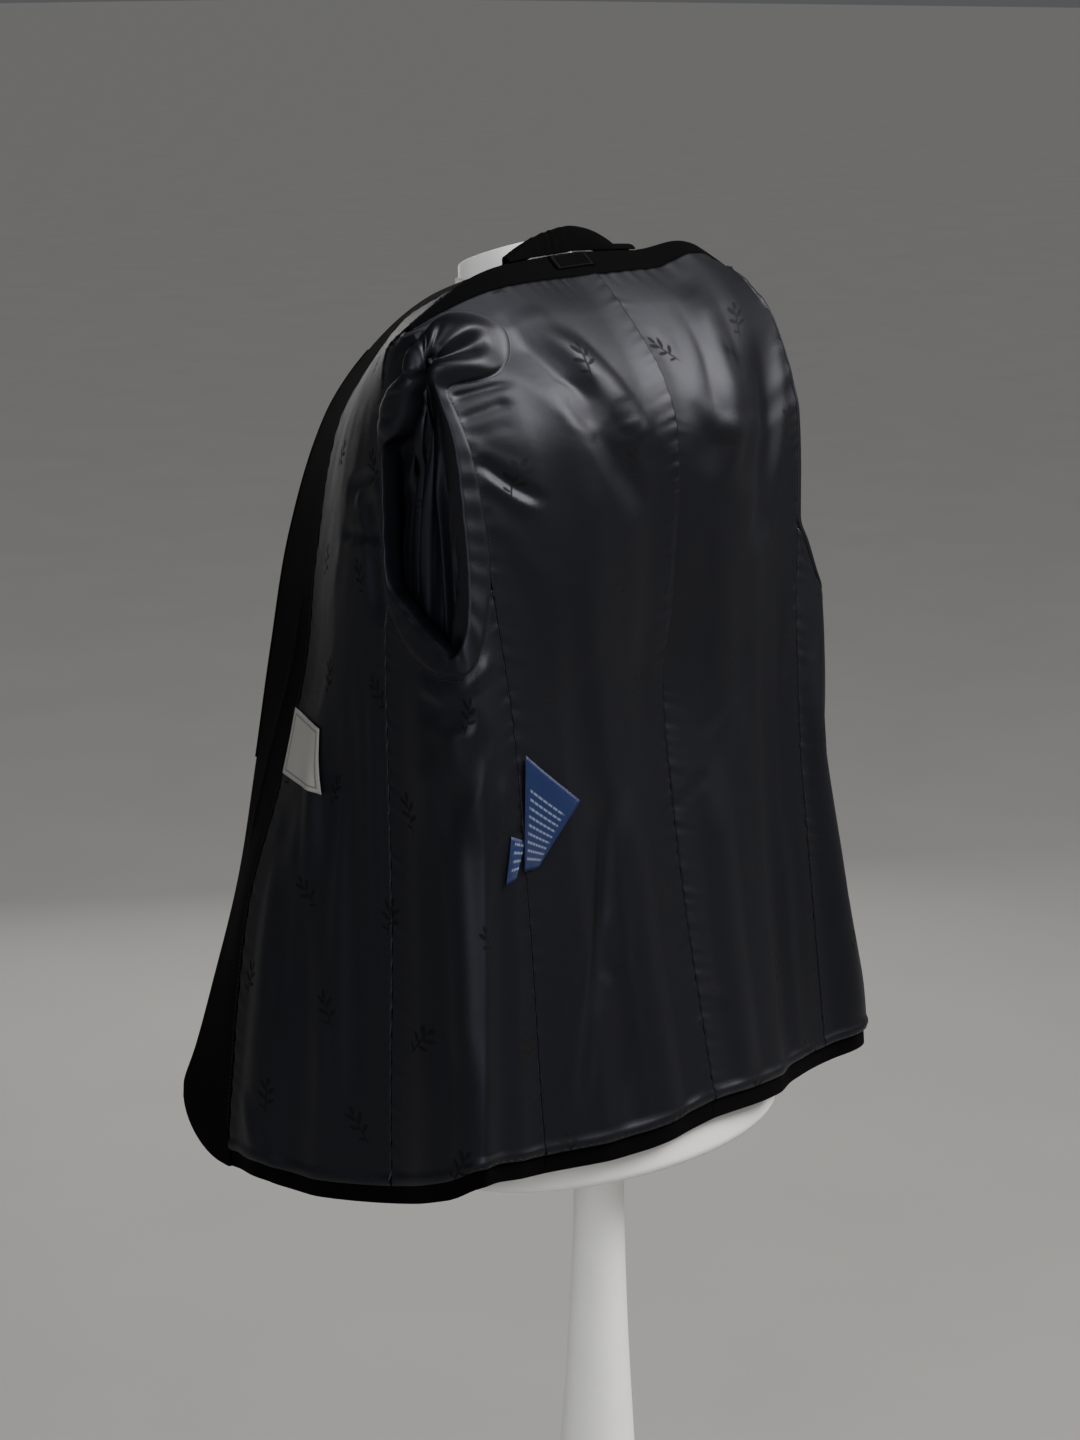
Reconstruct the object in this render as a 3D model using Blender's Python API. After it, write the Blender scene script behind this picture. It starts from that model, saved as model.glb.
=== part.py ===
"""A tailored blazer, turned inside out and open, on a limbless white display form.

Metres, +Z up. The form faces -Y and its left is +X; the column stands on the Z axis
and the floor is z = 0. The cloth is one lattice of points on the blazer's surface, a
short table of sections run through with smooth curves. Every cut piece is a wall
through its own rows and columns of that lattice, so that pieces meet along seams.
"""

import math

import bmesh
import bpy
import numpy as np

# --- driving sizes -----------------------------------------------------------------

RIM_HEIGHT = 0.800  # lower edge of the torso above the floor
SEAM_GAP = 0.0003  # between two pieces that meet
SEAM_INSET = 0.00025  # how far each piece stops short of the seam line

# Walls, as heights above the surface of the lattice: (inner face, outer face).
LINING_WALL = (0.0000, 0.0010)
FACING_WALL = (-0.0016, 0.0010)
SHELL_WALL = (-0.0040, -0.0020)
LAPEL_WALL = (-0.0068, -0.0048)
LABEL_WALL = (0.0020, 0.0030)
SLEEVE_LINING_WALL = (-0.0026, -0.0016)
SLEEVE_WOOL_WALL = (0.0000, 0.0018)

# --- the blazer's surface -----------------------------------------------------------

# One row for each section, by its height above the rim, and one column for each line
# that runs down the half blazer, as (x, y) or, over the shoulder, (x, y, z).
# The lines are the centre back, shoulder blade, back seam, side, front seam, chest,
# facing seam and front edge. Girth is their distance from the centre back, along the cloth.
GIRTHS = (0.0, 0.095, 0.180, 0.245, 0.335, 0.430, 0.530, 0.610)
SECTIONS = (
    (-0.06, (0, 0.137), (0.096, 0.132), (0.176, 0.096), (0.240, 0.078), (0.229, -0.026),
     (0.236, -0.130), (0.223, -0.227), (0.201, -0.322)),
    (0.00, (0, 0.133), (0.096, 0.128), (0.175, 0.095), (0.238, 0.078), (0.228, -0.027),
     (0.235, -0.130), (0.220, -0.228), (0.197, -0.318)),
    (0.05, (0, 0.126), (0.096, 0.122), (0.175, 0.092), (0.236, 0.078), (0.225, -0.030),
     (0.231, -0.130), (0.214, -0.228), (0.189, -0.303)),
    (0.10, (0, 0.115), (0.096, 0.113), (0.175, 0.087), (0.233, 0.076), (0.221, -0.033),
     (0.226, -0.130), (0.206, -0.230), (0.180, -0.292)),
    (0.20, (0, 0.094), (0.095, 0.097), (0.174, 0.078), (0.223, 0.066), (0.213, -0.038),
     (0.214, -0.130), (0.190, -0.227), (0.160, -0.275)),
    (0.30, (0, 0.077), (0.095, 0.084), (0.174, 0.068), (0.215, 0.054), (0.207, -0.045),
     (0.204, -0.126), (0.176, -0.202), (0.140, -0.271)),
    (0.40, (0, 0.064), (0.095, 0.074), (0.176, 0.058), (0.214, 0.046), (0.204, -0.050),
     (0.194, -0.116), (0.162, -0.184), (0.125, -0.264)),
    (0.50, (0, 0.068), (0.096, 0.075), (0.185, 0.046), (0.213, 0.032), (0.202, -0.052),
     (0.186, -0.115), (0.150, -0.180), (0.111, -0.253)),
    (0.60, (0, 0.070), (0.096, 0.070), (0.193, 0.031), (0.210, 0.014), (0.200, -0.055),
     (0.177, -0.112), (0.140, -0.165), (0.100, -0.220)),
    (0.65, (0, 0.054), (0.095, 0.052), (0.198, 0.010, 0.648), (0.207, -0.008, 0.648),
     (0.199, -0.056, 0.646), (0.170, -0.100, 0.650), (0.136, -0.133, 0.652),
     (0.098, -0.172, 0.658)),
    (0.69, (0, 0.018, 0.697), (0.090, 0.016, 0.697), (0.200, -0.011, 0.680), (0.204, -0.022, 0.680),
     (0.199, -0.050, 0.679), (0.162, -0.074, 0.690), (0.127, -0.090, 0.700),
     (0.089, -0.112, 0.706)),
    (0.72, (0, -0.030, 0.742), (0.085, -0.030, 0.737), (0.197, -0.030, 0.697), (0.198, -0.032, 0.697),
     (0.195, -0.032, 0.698), (0.155, -0.032, 0.718), (0.120, -0.032, 0.731),
     (0.078, -0.032, 0.738)),
)
CREST_LEVEL = 0.72
# The shoulder line, as (distance from the centre back, height above the rim).
CREST_Y = -0.031
CREST_LINE = ((0.0, 0.742), (0.080, 0.738), (0.120, 0.731), (0.155, 0.718), (0.198, 0.697))

# The far side hangs fuller than the near one: (level, outward push), strongest at the
# side line, and its shoulder rides up.
RIGHT_FULLNESS = (
    (-0.06, 0.028), (0.10, 0.022), (0.30, 0.014), (0.45, 0.018), (0.60, 0.030), (0.66, 0.022),
    (0.72, 0.0),
)
RIGHT_FULLNESS_AT = 0.235
RIGHT_FULLNESS_REACH = 0.110
RIGHT_FULLNESS_TOWARDS = (-0.66, 0.75)
RIGHT_SHOULDER_RISE = 0.020
RISE_STARTS = (0.075, 0.56)  # distance from the centre, height above the rim
RISE_IS_FULL = (0.160, 0.68)

# Hem, lining hem, armhole scoop and neck line, as (girth, level).
HEM_LINE = (
    (0.0, 0.035), (0.095, 0.030), (0.180, 0.028), (0.242, 0.030), (0.280, 0.010),
    (0.335, -0.014), (0.430, -0.030), (0.500, -0.032), (0.530, -0.035),
)
FRONT_CORNER_RADIUS = 0.068
HEM_BAND = 0.016
ARMHOLE_LINE = (
    (0.0, 0.490), (0.180, 0.500), (0.215, 0.452), (0.255, 0.436), (0.300, 0.446),
    (0.335, 0.478), (0.610, 0.500),
)
NECK_LINE = (
    (0.0, 0.709), (0.095, 0.710), (0.140, 0.712), (0.180, 0.715), (0.335, 0.713), (0.610, 0.713),
)
# The facing seam turns back over the chest to meet the shoulder: (level, girth).
FACING_SEAM = ((0.62, 0.530), (0.66, 0.518), (0.69, 0.492), (0.72, 0.462))

# Steps of the lattice: columns in each panel, rows in each stretch of height.
BACK_STEPS, SIDE_STEPS, FRONT_STEPS, FACING_STEPS = 6, 5, 6, 4
SKIRT_STEPS, YOKE_STEPS = 16, 7
BACK_SEAM = BACK_STEPS
FRONT_SEAM = BACK_SEAM + SIDE_STEPS
FACING_COLUMN = FRONT_SEAM + FRONT_STEPS
EDGE_COLUMN = FACING_COLUMN + FACING_STEPS
LINING_HEM_ROW = 1
ARMHOLE_ROW = LINING_HEM_ROW + SKIRT_STEPS
NECK_ROW = ARMHOLE_ROW + YOKE_STEPS
CREST_ROW = NECK_ROW + 1

# Largest folds: level and girth of one end, then of the other, half width, and depth,
# where a trough is negative. Each half has its own.
FOLD_FADE = 0.15  # the share of a fold's length over which each end fades, either way
LEFT_FOLDS = (
    (0.690, 0.130, 0.560, 0.050, 0.026, -0.006),
    (0.680, 0.090, 0.600, 0.030, 0.022, 0.004),
    (0.420, 0.110, 0.040, 0.100, 0.026, -0.006),
    (0.300, 0.060, 0.040, 0.055, 0.022, 0.004),
    (0.300, 0.215, 0.020, 0.222, 0.022, -0.006),
    (0.400, 0.290, -0.010, 0.300, 0.026, 0.005),
    (0.560, 0.370, 0.470, 0.345, 0.024, -0.004),
    (0.350, 0.420, -0.030, 0.440, 0.030, -0.006),
    (0.250, 0.480, -0.040, 0.495, 0.026, 0.005),
)
RIGHT_FOLDS = (
    (0.690, 0.100, 0.560, 0.070, 0.026, 0.005),
    (0.640, 0.150, 0.500, 0.120, 0.024, -0.005),
    (0.380, 0.140, 0.040, 0.120, 0.026, -0.006),
    (0.300, 0.050, 0.060, 0.045, 0.024, 0.004),
    (0.360, 0.205, 0.030, 0.212, 0.022, 0.005),
    (0.380, 0.300, 0.000, 0.310, 0.026, -0.005),
    (0.520, 0.380, 0.300, 0.400, 0.026, 0.005),
    (0.330, 0.450, -0.030, 0.455, 0.030, -0.006),
)

# The pleat at the lining's centre back: one half overlaps the other down to its tack.
PLEAT_TACK_LEVEL = 0.400
PLEAT_OVERLAP = 0.006
PLEAT_RUN = 0.060  # over which the overlap opens above the tack
PLEAT_LENGTH = 0.300
PLEAT_LIFT = 0.0045

# --- sleeves, which hang inside the blazer ------------------------------------------

# Level, centre (x, y) and half sizes across and along of the flattened tube.
SLEEVE_SECTIONS = (
    (0.360, 0.1800, -0.038, 0.0130, 0.076),
    (0.290, 0.1800, -0.048, 0.0125, 0.075),
    (0.220, 0.1840, -0.062, 0.0120, 0.076),
    (0.150, 0.1870, -0.085, 0.0115, 0.073),
    (0.085, 0.1860, -0.105, 0.0110, 0.070),
)
SLEEVE_HEAD_ROWS = 6
SLEEVE_HEAD_SPREAD = 1.35  # over 1 sets the rows closer together at the mouth
HEAD_INWARD = 0.030  # how far the sleeve head runs in before it turns down
UNDERARM_INWARD = 0.0184
MOUTH_INSET = 0.0014
SLEEVE_STRAIGHT_IN = 0.0066  # through the armhole, until it is clear of the shell
SLEEVE_LEAD = 0.22  # the share of the way down over which the head turns to the tube
SLEEVE_HEAD_BEND = 0.080  # over which the two sides of the head close to one fold

# --- collar, lapels, labels and buttons ------------------------------------------------

COLLAR_REACH = 0.078  # from the centre back to where the collar's stand runs out
COLLAR_STEPS = 14
COLLAR_RUN_OUT = (0.084, 0.060)  # the far side of the stand lies lower
STAND_HEIGHT = 0.019
STAND_LOWEST = 0.003
STAND_LEAN = 0.004
COLLAR_WALL = 0.0020
LEAF_DROP = 0.012
LEAF_DROP_SHARE = 0.2  # and this much of the stand's height
LAPEL_LOW, LAPEL_HIGH = 0.300, 0.640
LAPEL_WIDTH = 0.078
LAPEL_POINT = 0.012
LAPEL_ROLL = (0.0005, 0.0023)  # beyond the front edge
LAPEL_TOP = 0.0006
LAPEL_STEPS = 4
# Four corners of each label, as (column, row) places on the lattice of the left half.
INSIDE_LABEL = ((16.80, 11.1), (14.20, 11.0), (14.66, 12.7), (16.80, 12.9))
CARE_LABEL = ((6.70, 9.6), (6.30, 8.9), (4.20, 10.8), (5.67, 12.4))
LABEL_STEPS = 8
NECK_LABEL_REACHES = (0.034, 0.020)  # from the centre back, left then right
NECK_LABEL_SPAN = (0.48, 0.72, 0.96)
# Column and row of each button on the left half, then its profile: depth and radius.
BUTTONS = (("button_upper", (20.2, 9.6)), ("button_lower", (20.2, 6.4)))
BUTTON_PROFILE = ((0.0, 0.008), (0.0007, 0.010), (0.0024, 0.010), (0.0030, 0.0085))
BUTTON_SEGMENTS = 16
BUTTON_CLEARANCE = 0.0006

# --- the display form ----------------------------------------------------------------

# Level above the rim, half width, half depth and centre y of the torso, then the
# radius of the neck that it also holds there.
TORSO_SECTIONS = (
    (0.000, 0.1890, 0.1100, 0.006, 0),
    (0.006, 0.1930, 0.1130, 0.006, 0),
    (0.030, 0.1905, 0.1090, 0.006, 0),
    (0.100, 0.1800, 0.0980, 0.002, 0),
    (0.200, 0.1600, 0.0860, -0.006, 0),
    (0.280, 0.1480, 0.0780, -0.014, 0),
    (0.360, 0.1440, 0.0780, -0.025, 0),
    (0.440, 0.1440, 0.0850, -0.035, 0),
    (0.520, 0.1460, 0.0970, -0.043, 0),
    (0.600, 0.1470, 0.1000, -0.048, 0),
    (0.650, 0.1440, 0.0820, -0.056, 0),
    (0.685, 0.1400, 0.0580, -0.050, 0.047),
    (0.702, 0.1280, 0.0360, -0.038, 0.049),
    (0.7165, 0.1140, 0.0200, -0.034, 0.051),
    (0.7170, 0.1120, 0.0125, -0.0345, 0),
    (0.7300, 0.0960, 0.0060, -0.0330, 0),
)
TORSO_SEGMENTS = 28
NECK_RADIUS = 0.0470
NECK_CENTRE_Y = -0.096
NECK_CAP_SLANT = math.radians(18)
NECK_CAP_FOOT = RIM_HEIGHT + 0.7173
# Whether the ring lies on the slant, its radius, height and centre y from the neck's.
NECK_CAP_PROFILE = (
    (0, NECK_RADIUS - 0.002, 0.0, 0.0),
    (0, NECK_RADIUS, 0.001, 0.0),
    (1, NECK_RADIUS, 0.006, 0.0),
    (1, NECK_RADIUS - 0.004, 0.007, 0.0),
    (1, 0.0072, 0.0074, -0.018),
    (1, 0.0045, 0.0098, -0.018),
    (1, 0.0014, 0.0133, -0.018),
)
# Height above the floor and radius of the turned column, then of the base.
COLUMN_PROFILE = (
    (0.0253, 0.060), (0.120, 0.0555), (0.260, 0.0480), (0.400, 0.0385), (0.500, 0.0325),
    (0.600, 0.0265), (0.680, 0.0232), (0.740, 0.0218), (0.7997, 0.0215),
)
BASE_PROFILE = ((0.0, 0.158), (0.004, 0.162), (0.014, 0.162), (0.020, 0.156), (0.025, 0.140))
COLUMN_SEGMENTS = 28

WOOL = ((0.010, 0.010, 0.012), 0.95, 0.0)
LINING = ((0.012, 0.013, 0.018), 0.30, 0.0)
PAINT = ((0.80, 0.79, 0.75), 0.45, 0.0)
CREAM = ((0.62, 0.58, 0.48), 0.70, 0.0)
BLUE = ((0.02, 0.04, 0.13), 0.45, 0.0)
HORN = ((0.02, 0.018, 0.015), 0.35, 0.0)


# --- smooth curves ---------------------------------------------------------------------


def curve_weights(knots, at):
    """Rows of weights that run a smooth curve through values given at the knots."""
    knots = np.asarray(knots, float)
    at = np.clip(np.atleast_1d(np.asarray(at, float)), knots[0], knots[-1])
    count = len(knots)
    slopes = np.zeros((count, count))
    for k in range(count):
        before, after = max(k - 1, 0), min(k + 1, count - 1)
        slopes[k, after] += 1 / (knots[after] - knots[before])
        slopes[k, before] -= 1 / (knots[after] - knots[before])
    low = np.clip(np.searchsorted(knots, at, side="right") - 1, 0, count - 2)
    span = knots[low + 1] - knots[low]
    t = ((at - knots[low]) / span)[:, None]
    span = span[:, None]
    rows = np.eye(count)
    return (
        (2 * t**3 - 3 * t**2 + 1) * rows[low]
        + (t**3 - 2 * t**2 + t) * span * slopes[low]
        + (3 * t**2 - 2 * t**3) * rows[low + 1]
        + (t**3 - t**2) * span * slopes[low + 1]
    )


def on_curve(pairs, at):
    """A value read from a smooth curve through (place, value) pairs."""
    pairs = np.asarray(pairs, float)
    return curve_weights(pairs[:, 0], at) @ pairs[:, 1]


def on_line(pairs, at):
    """A value read from straight runs between (place, value) pairs."""
    pairs = np.asarray(pairs, float)
    return np.interp(at, pairs[:, 0], pairs[:, 1])


SECTION_LEVELS = [row[0] for row in SECTIONS]
SECTION_POINTS = np.array(
    [[point if len(point) == 3 else (*point, row[0]) for point in row[1:]] for row in SECTIONS],
    float,
)


def surface(girth, level, hand):
    """Points of the blazer's surface; hand is 1 on the form's left, -1 on its right."""
    girth = np.asarray(girth, float)
    level = np.asarray(level, float)
    shape = girth.shape
    across = curve_weights(GIRTHS, girth.ravel())
    up = curve_weights(SECTION_LEVELS, level.ravel())
    points = np.einsum("nr,nc,rcx->nx", up, across, SECTION_POINTS)
    if hand < 0:
        push = on_line(RIGHT_FULLNESS, level.ravel())
        away = (girth.ravel() - RIGHT_FULLNESS_AT) / RIGHT_FULLNESS_REACH
        push = push * np.clip(1 - away**2, 0, 1) ** 2
        points[:, 0] *= -1
        points[:, 0] += push * RIGHT_FULLNESS_TOWARDS[0]
        points[:, 1] += push * RIGHT_FULLNESS_TOWARDS[1]
        points[:, 2] += right_rise(points)
    points[:, 2] += RIM_HEIGHT
    return points.reshape(*shape, 3)


def right_rise(points):
    """How far the far shoulder rides up: none at the neck and below the chest."""
    out, high = (
        ramp(value, start, full)
        for value, start, full in zip((np.abs(points[:, 0]), points[:, 2]), RISE_STARTS, RISE_IS_FULL)
    )
    return RIGHT_SHOULDER_RISE * out * high


def ramp(value, start, full):
    """0 up to the start, 1 from full on, and smooth between."""
    t = np.clip((value - start) / (full - start), 0, 1)
    return t * t * (3 - 2 * t)


def fold_height(girth, level, folds):
    """The height of the folds at a place on the surface."""
    total = np.zeros_like(girth)
    for level_0, girth_0, level_1, girth_1, half_width, depth in folds:
        along = (level - level_0) / (level_1 - level_0)
        middle = girth_0 + (girth_1 - girth_0) * along
        across = np.clip(1 - ((girth - middle) / half_width) ** 2, 0, 1) ** 2
        fade = ramp(along, -FOLD_FADE, FOLD_FADE) * ramp(along, 1 + FOLD_FADE, 1 - FOLD_FADE)
        total += depth * across * fade
    return total


# --- the lattice ----------------------------------------------------------------------


def facing_girth(level):
    """The facing seam runs straight up, then turns back over the chest."""
    return on_curve(FACING_SEAM, np.ravel(level)).reshape(np.shape(level))


def hem_level(girth):
    """The hem, with its round front corner."""
    level = on_curve(HEM_LINE, girth)
    start = GIRTHS[-1] - FRONT_CORNER_RADIUS
    into = np.clip((girth - start) / FRONT_CORNER_RADIUS, 0, 1)
    return level + FRONT_CORNER_RADIUS * (1 - np.sqrt(1 - into**2))


def column_girths():
    parts = (
        np.linspace(0, GIRTHS[2], BACK_STEPS + 1),
        np.linspace(GIRTHS[2], GIRTHS[4], SIDE_STEPS + 1)[1:],
        np.linspace(GIRTHS[4], GIRTHS[6], FRONT_STEPS + 1)[1:],
        np.linspace(GIRTHS[6], GIRTHS[7], FACING_STEPS + 1)[1:],
    )
    return np.concatenate(parts)


def lattice_places():
    """Girth and level of each lattice point, columns first."""
    columns = column_girths()
    hem = hem_level(columns)
    armhole = on_curve(ARMHOLE_LINE, columns)
    neck = on_curve(NECK_LINE, columns)
    lining_hem = np.minimum(hem + HEM_BAND, armhole)
    levels = [hem]
    for step in range(SKIRT_STEPS + 1):
        levels.append(lining_hem + (armhole - lining_hem) * step / SKIRT_STEPS)
    for step in range(1, YOKE_STEPS + 1):
        levels.append(armhole + (neck - armhole) * step / YOKE_STEPS)
    levels.append(np.full_like(columns, CREST_LEVEL))
    level = np.stack(levels, axis=1)
    girth = np.repeat(columns[:, None], level.shape[1], axis=1)
    seam = facing_girth(level)
    front = (girth - GIRTHS[4]) / (GIRTHS[6] - GIRTHS[4])
    girth = np.where((front > 0) & (front <= 1), GIRTHS[4] + front * (seam - GIRTHS[4]), girth)
    facing = (columns[:, None] - GIRTHS[6]) / (GIRTHS[7] - GIRTHS[6])
    girth = np.where(facing > 0, seam + facing * (GIRTHS[7] - seam), girth)
    return girth, level


def crest_height(x):
    return on_curve(CREST_LINE, np.abs(x)) + RIM_HEIGHT


def lattice(hand):
    """Points and outward normals of the half blazer, as [column, row, xyz]."""
    girth, level = lattice_places()
    folds = LEFT_FOLDS if hand > 0 else RIGHT_FOLDS
    points = surface(girth, level, hand)
    normals = grid_normals(points, hand)
    crest = points[:, CREST_ROW]
    rise = right_rise(crest - (0, 0, RIM_HEIGHT)) if hand < 0 else 0
    crest[:, 2] = crest_height(crest[:, 0]) + rise
    crest[:, 1] = CREST_Y
    normals[:, CREST_ROW] = crest_normals(crest[:, 0])
    normals[0, :, 0] = 0
    normals /= np.linalg.norm(normals, axis=2, keepdims=True)
    points = points + normals * fold_height(girth, level, folds)[..., None]
    return points, normals


def crest_normals(x):
    """Square to the shoulder line, read over a short run of it."""
    run = 0.002
    slope = (crest_height(np.abs(x) + run) - crest_height(np.abs(x) - run)) / (2 * run)
    return np.stack([-slope * np.sign(x), np.zeros_like(x), np.ones_like(x)], axis=1)


def grid_normals(points, hand):
    along = np.gradient(points, axis=0)
    up = np.gradient(points, axis=1)
    normals = np.cross(up, along) * hand
    return normals / np.linalg.norm(normals, axis=2, keepdims=True)


# --- solids from grids -----------------------------------------------------------------


def shrink_edges(points, inset):
    """The grid with its four sides moved in, along the surface."""
    points = points.copy()
    points[0] += unit(points[1] - points[0]) * inset
    points[-1] += unit(points[-2] - points[-1]) * inset
    points[:, 0] += unit(points[:, 1] - points[:, 0]) * inset
    points[:, -1] += unit(points[:, -2] - points[:, -1]) * inset
    return points


def unit(vectors):
    return vectors / np.linalg.norm(vectors, axis=-1, keepdims=True)


def wall_between(name, inner, outer, finish, ring=False, mirrored=0):
    """One closed solid between two grids of points [column, row, xyz].

    Each cell is split from its low corner, or the other way in the mirrored columns, so
    that two walls through the same lattice points lie parallel.
    """
    columns, rows = inner.shape[:2]
    mesh = bmesh.new()
    low, high = (
        [[mesh.verts.new(p) for p in column] for column in grid] for grid in (inner, outer)
    )
    for c in range(columns if ring else columns - 1):
        n = (c + 1) % columns
        for r in range(rows - 1):
            for grid, order in ((low, -1), (high, 1)):
                near, far = (grid[c][r], grid[c][r + 1]), (grid[n][r], grid[n][r + 1])
                if c < mirrored:
                    split = ((near[0], far[0], near[1]), (far[0], far[1], near[1]))
                else:
                    split = ((near[0], far[0], far[1]), (near[0], far[1], near[1]))
                for corners in split:
                    mesh.faces.new(corners[::order])
        mesh.faces.new((low[c][0], low[n][0], high[n][0], high[c][0]))
        mesh.faces.new((high[c][-1], high[n][-1], low[n][-1], low[c][-1]))
    if not ring:
        for r in range(rows - 1):
            mesh.faces.new((low[0][r + 1], low[0][r], high[0][r], high[0][r + 1]))
            mesh.faces.new((low[-1][r], low[-1][r + 1], high[-1][r + 1], high[-1][r]))
    return finished(name, mesh, finish)


def finished(name, mesh, finish):
    """Makes the object, with its own material."""
    colour, roughness, metallic = finish
    data = bpy.data.meshes.new(name)
    bmesh.ops.recalc_face_normals(mesh, faces=mesh.faces)
    if mesh.calc_volume(signed=True) < 0:
        bmesh.ops.reverse_faces(mesh, faces=mesh.faces)
    bmesh.ops.triangulate(mesh, faces=mesh.faces, quad_method="FIXED")
    mesh.to_mesh(data)
    mesh.free()
    data.shade_smooth()
    material = bpy.data.materials.new(name + "_finish")
    material.use_nodes = True
    shader = material.node_tree.nodes["Principled BSDF"]
    shader.inputs["Base Color"].default_value = (*colour, 1)
    shader.inputs["Roughness"].default_value = roughness
    shader.inputs["Metallic"].default_value = metallic
    data.materials.append(material)
    thing = bpy.data.objects.new(name, data)
    bpy.context.scene.collection.objects.link(thing)
    return thing


def panel(name, half, columns, rows, wall, finish):
    """A cut piece: a wall through the lattice between two columns and two rows."""
    points, normals = half
    c0, c1 = columns
    r0, r1 = rows
    points = points[c0 : c1 + 1, r0 : r1 + 1]
    normals = normals[c0 : c1 + 1, r0 : r1 + 1]
    points = shrink_edges(points, SEAM_INSET)
    return wall_between(name, points + normals * wall[0], points + normals * wall[1], finish)


def revolve(name, profile, segments, finish):
    """A turned solid from (height, radius) pairs."""
    mesh = bmesh.new()
    rings = []
    for height, radius in profile:
        ring = []
        for s in range(segments):
            turn = 2 * math.pi * s / segments
            ring.append(mesh.verts.new((radius * math.cos(turn), radius * math.sin(turn), height)))
        rings.append(ring)
    close_rings(mesh, rings)
    return finished(name, mesh, finish)


def close_rings(mesh, rings):
    for low, high in zip(rings, rings[1:]):
        for s in range(len(low)):
            n = (s + 1) % len(low)
            mesh.faces.new((low[s], low[n], high[n], high[s]))
    mesh.faces.new(rings[0][::-1])
    mesh.faces.new(rings[-1])


# --- the display form ------------------------------------------------------------------


def make_form():
    mesh = bmesh.new()
    rings = []
    for level, half_width, half_depth, centre_y, neck in TORSO_SECTIONS:
        ring = []
        for s in range(TORSO_SEGMENTS):
            turn = 2 * math.pi * s / TORSO_SEGMENTS
            x = half_width * math.cos(turn)
            y = centre_y + half_depth * math.sin(turn)
            if math.sin(turn) < 0 and abs(x) < neck:
                y = min(y, NECK_CENTRE_Y - math.sqrt(neck**2 - x**2))
            ring.append(mesh.verts.new((x, y, RIM_HEIGHT + level)))
        rings.append(ring)
    close_rings(mesh, rings)
    finished("form_torso", mesh, PAINT)
    make_neck_cap()
    revolve("form_column", COLUMN_PROFILE, COLUMN_SEGMENTS, PAINT)
    revolve("form_base", BASE_PROFILE, COLUMN_SEGMENTS * 2, PAINT)


def make_neck_cap():
    """A disc with a slanted top, thicker at the back, and a small pointed knob."""
    mesh = bmesh.new()
    rings = []
    for slanted, radius, height, centre_y in NECK_CAP_PROFILE:
        ring = []
        for s in range(TORSO_SEGMENTS):
            turn = 2 * math.pi * s / TORSO_SEGMENTS
            y = centre_y + radius * math.sin(turn)
            lift = height + slanted * (NECK_RADIUS + y) * math.tan(NECK_CAP_SLANT)
            place = (radius * math.cos(turn), NECK_CENTRE_Y + y, NECK_CAP_FOOT + lift)
            ring.append(mesh.verts.new(place))
        rings.append(ring)
    close_rings(mesh, rings)
    finished("form_neck_cap", mesh, PAINT)


# --- the blazer's body -------------------------------------------------------------------


def make_shell(side, half):
    """The wool pieces, whose outer faces now lie next to the form."""
    rows = (0, CREST_ROW)
    panel("shell_back_" + side, half, (0, BACK_SEAM), rows, SHELL_WALL, WOOL)
    panel("shell_side_" + side, half, (BACK_SEAM, FRONT_SEAM), (0, ARMHOLE_ROW), SHELL_WALL, WOOL)
    panel("shell_front_" + side, half, (FRONT_SEAM, EDGE_COLUMN), rows, SHELL_WALL, WOOL)


def make_lining(side, half):
    """The satin pieces between the facings, and the wool facings themselves."""
    low = LINING_HEM_ROW
    if side == "right":
        panel("lining_back_right", half, (0, BACK_SEAM), (low, NECK_ROW), LINING_WALL, LINING)
    panel("lining_side_" + side, half, (BACK_SEAM, FRONT_SEAM), (low, ARMHOLE_ROW), LINING_WALL, LINING)
    panel("lining_front_" + side, half, (FRONT_SEAM, FACING_COLUMN), (low, CREST_ROW), LINING_WALL, LINING)
    panel("facing_" + side, half, (FACING_COLUMN, EDGE_COLUMN), (0, CREST_ROW), FACING_WALL, WOOL)


def make_back_lining_with_pleat(left, right):
    """The left back lining runs on past the centre over the right one, down to the tack."""
    points, normals = left
    rows = slice(LINING_HEM_ROW, NECK_ROW + 1)
    points = points[: BACK_SEAM + 1, rows]
    normals = normals[: BACK_SEAM + 1, rows]
    heights = points[0, :, 2] - RIM_HEIGHT
    above = ramp(heights, PLEAT_TACK_LEVEL, PLEAT_TACK_LEVEL + PLEAT_RUN)
    raised = ramp(heights, PLEAT_TACK_LEVEL - PLEAT_RUN, PLEAT_TACK_LEVEL)
    bellow = np.sin(np.pi * np.clip((heights - PLEAT_TACK_LEVEL) / PLEAT_LENGTH, 0, 1)) * above
    beyond_points, beyond_normals = (grid[:2, rows] for grid in right)
    step = np.linalg.norm(beyond_points[1] - beyond_points[0], axis=1)
    share = (PLEAT_OVERLAP * above / step)[:, None]
    fold_edge = beyond_points[0] + (beyond_points[1] - beyond_points[0]) * share
    points = np.concatenate([fold_edge[None], points])
    normals = np.concatenate([beyond_normals[:1], normals])
    flat = above < 0.01
    points[1, flat] = (points[0] * 0.8 + points[2] * 0.2)[flat]
    clear = LINING_WALL[1] + SEAM_GAP * 2
    lift = np.zeros(points.shape[:2])
    lift[0] = clear * raised + PLEAT_LIFT * bellow
    lift[1] = clear * raised + PLEAT_LIFT * 0.5 * bellow
    points = points + normals * lift[..., None]
    points = shrink_edges(points, SEAM_GAP)
    inner = points + normals * LINING_WALL[0]
    wall_between("lining_back_left", inner, points + normals * LINING_WALL[1], LINING)


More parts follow.
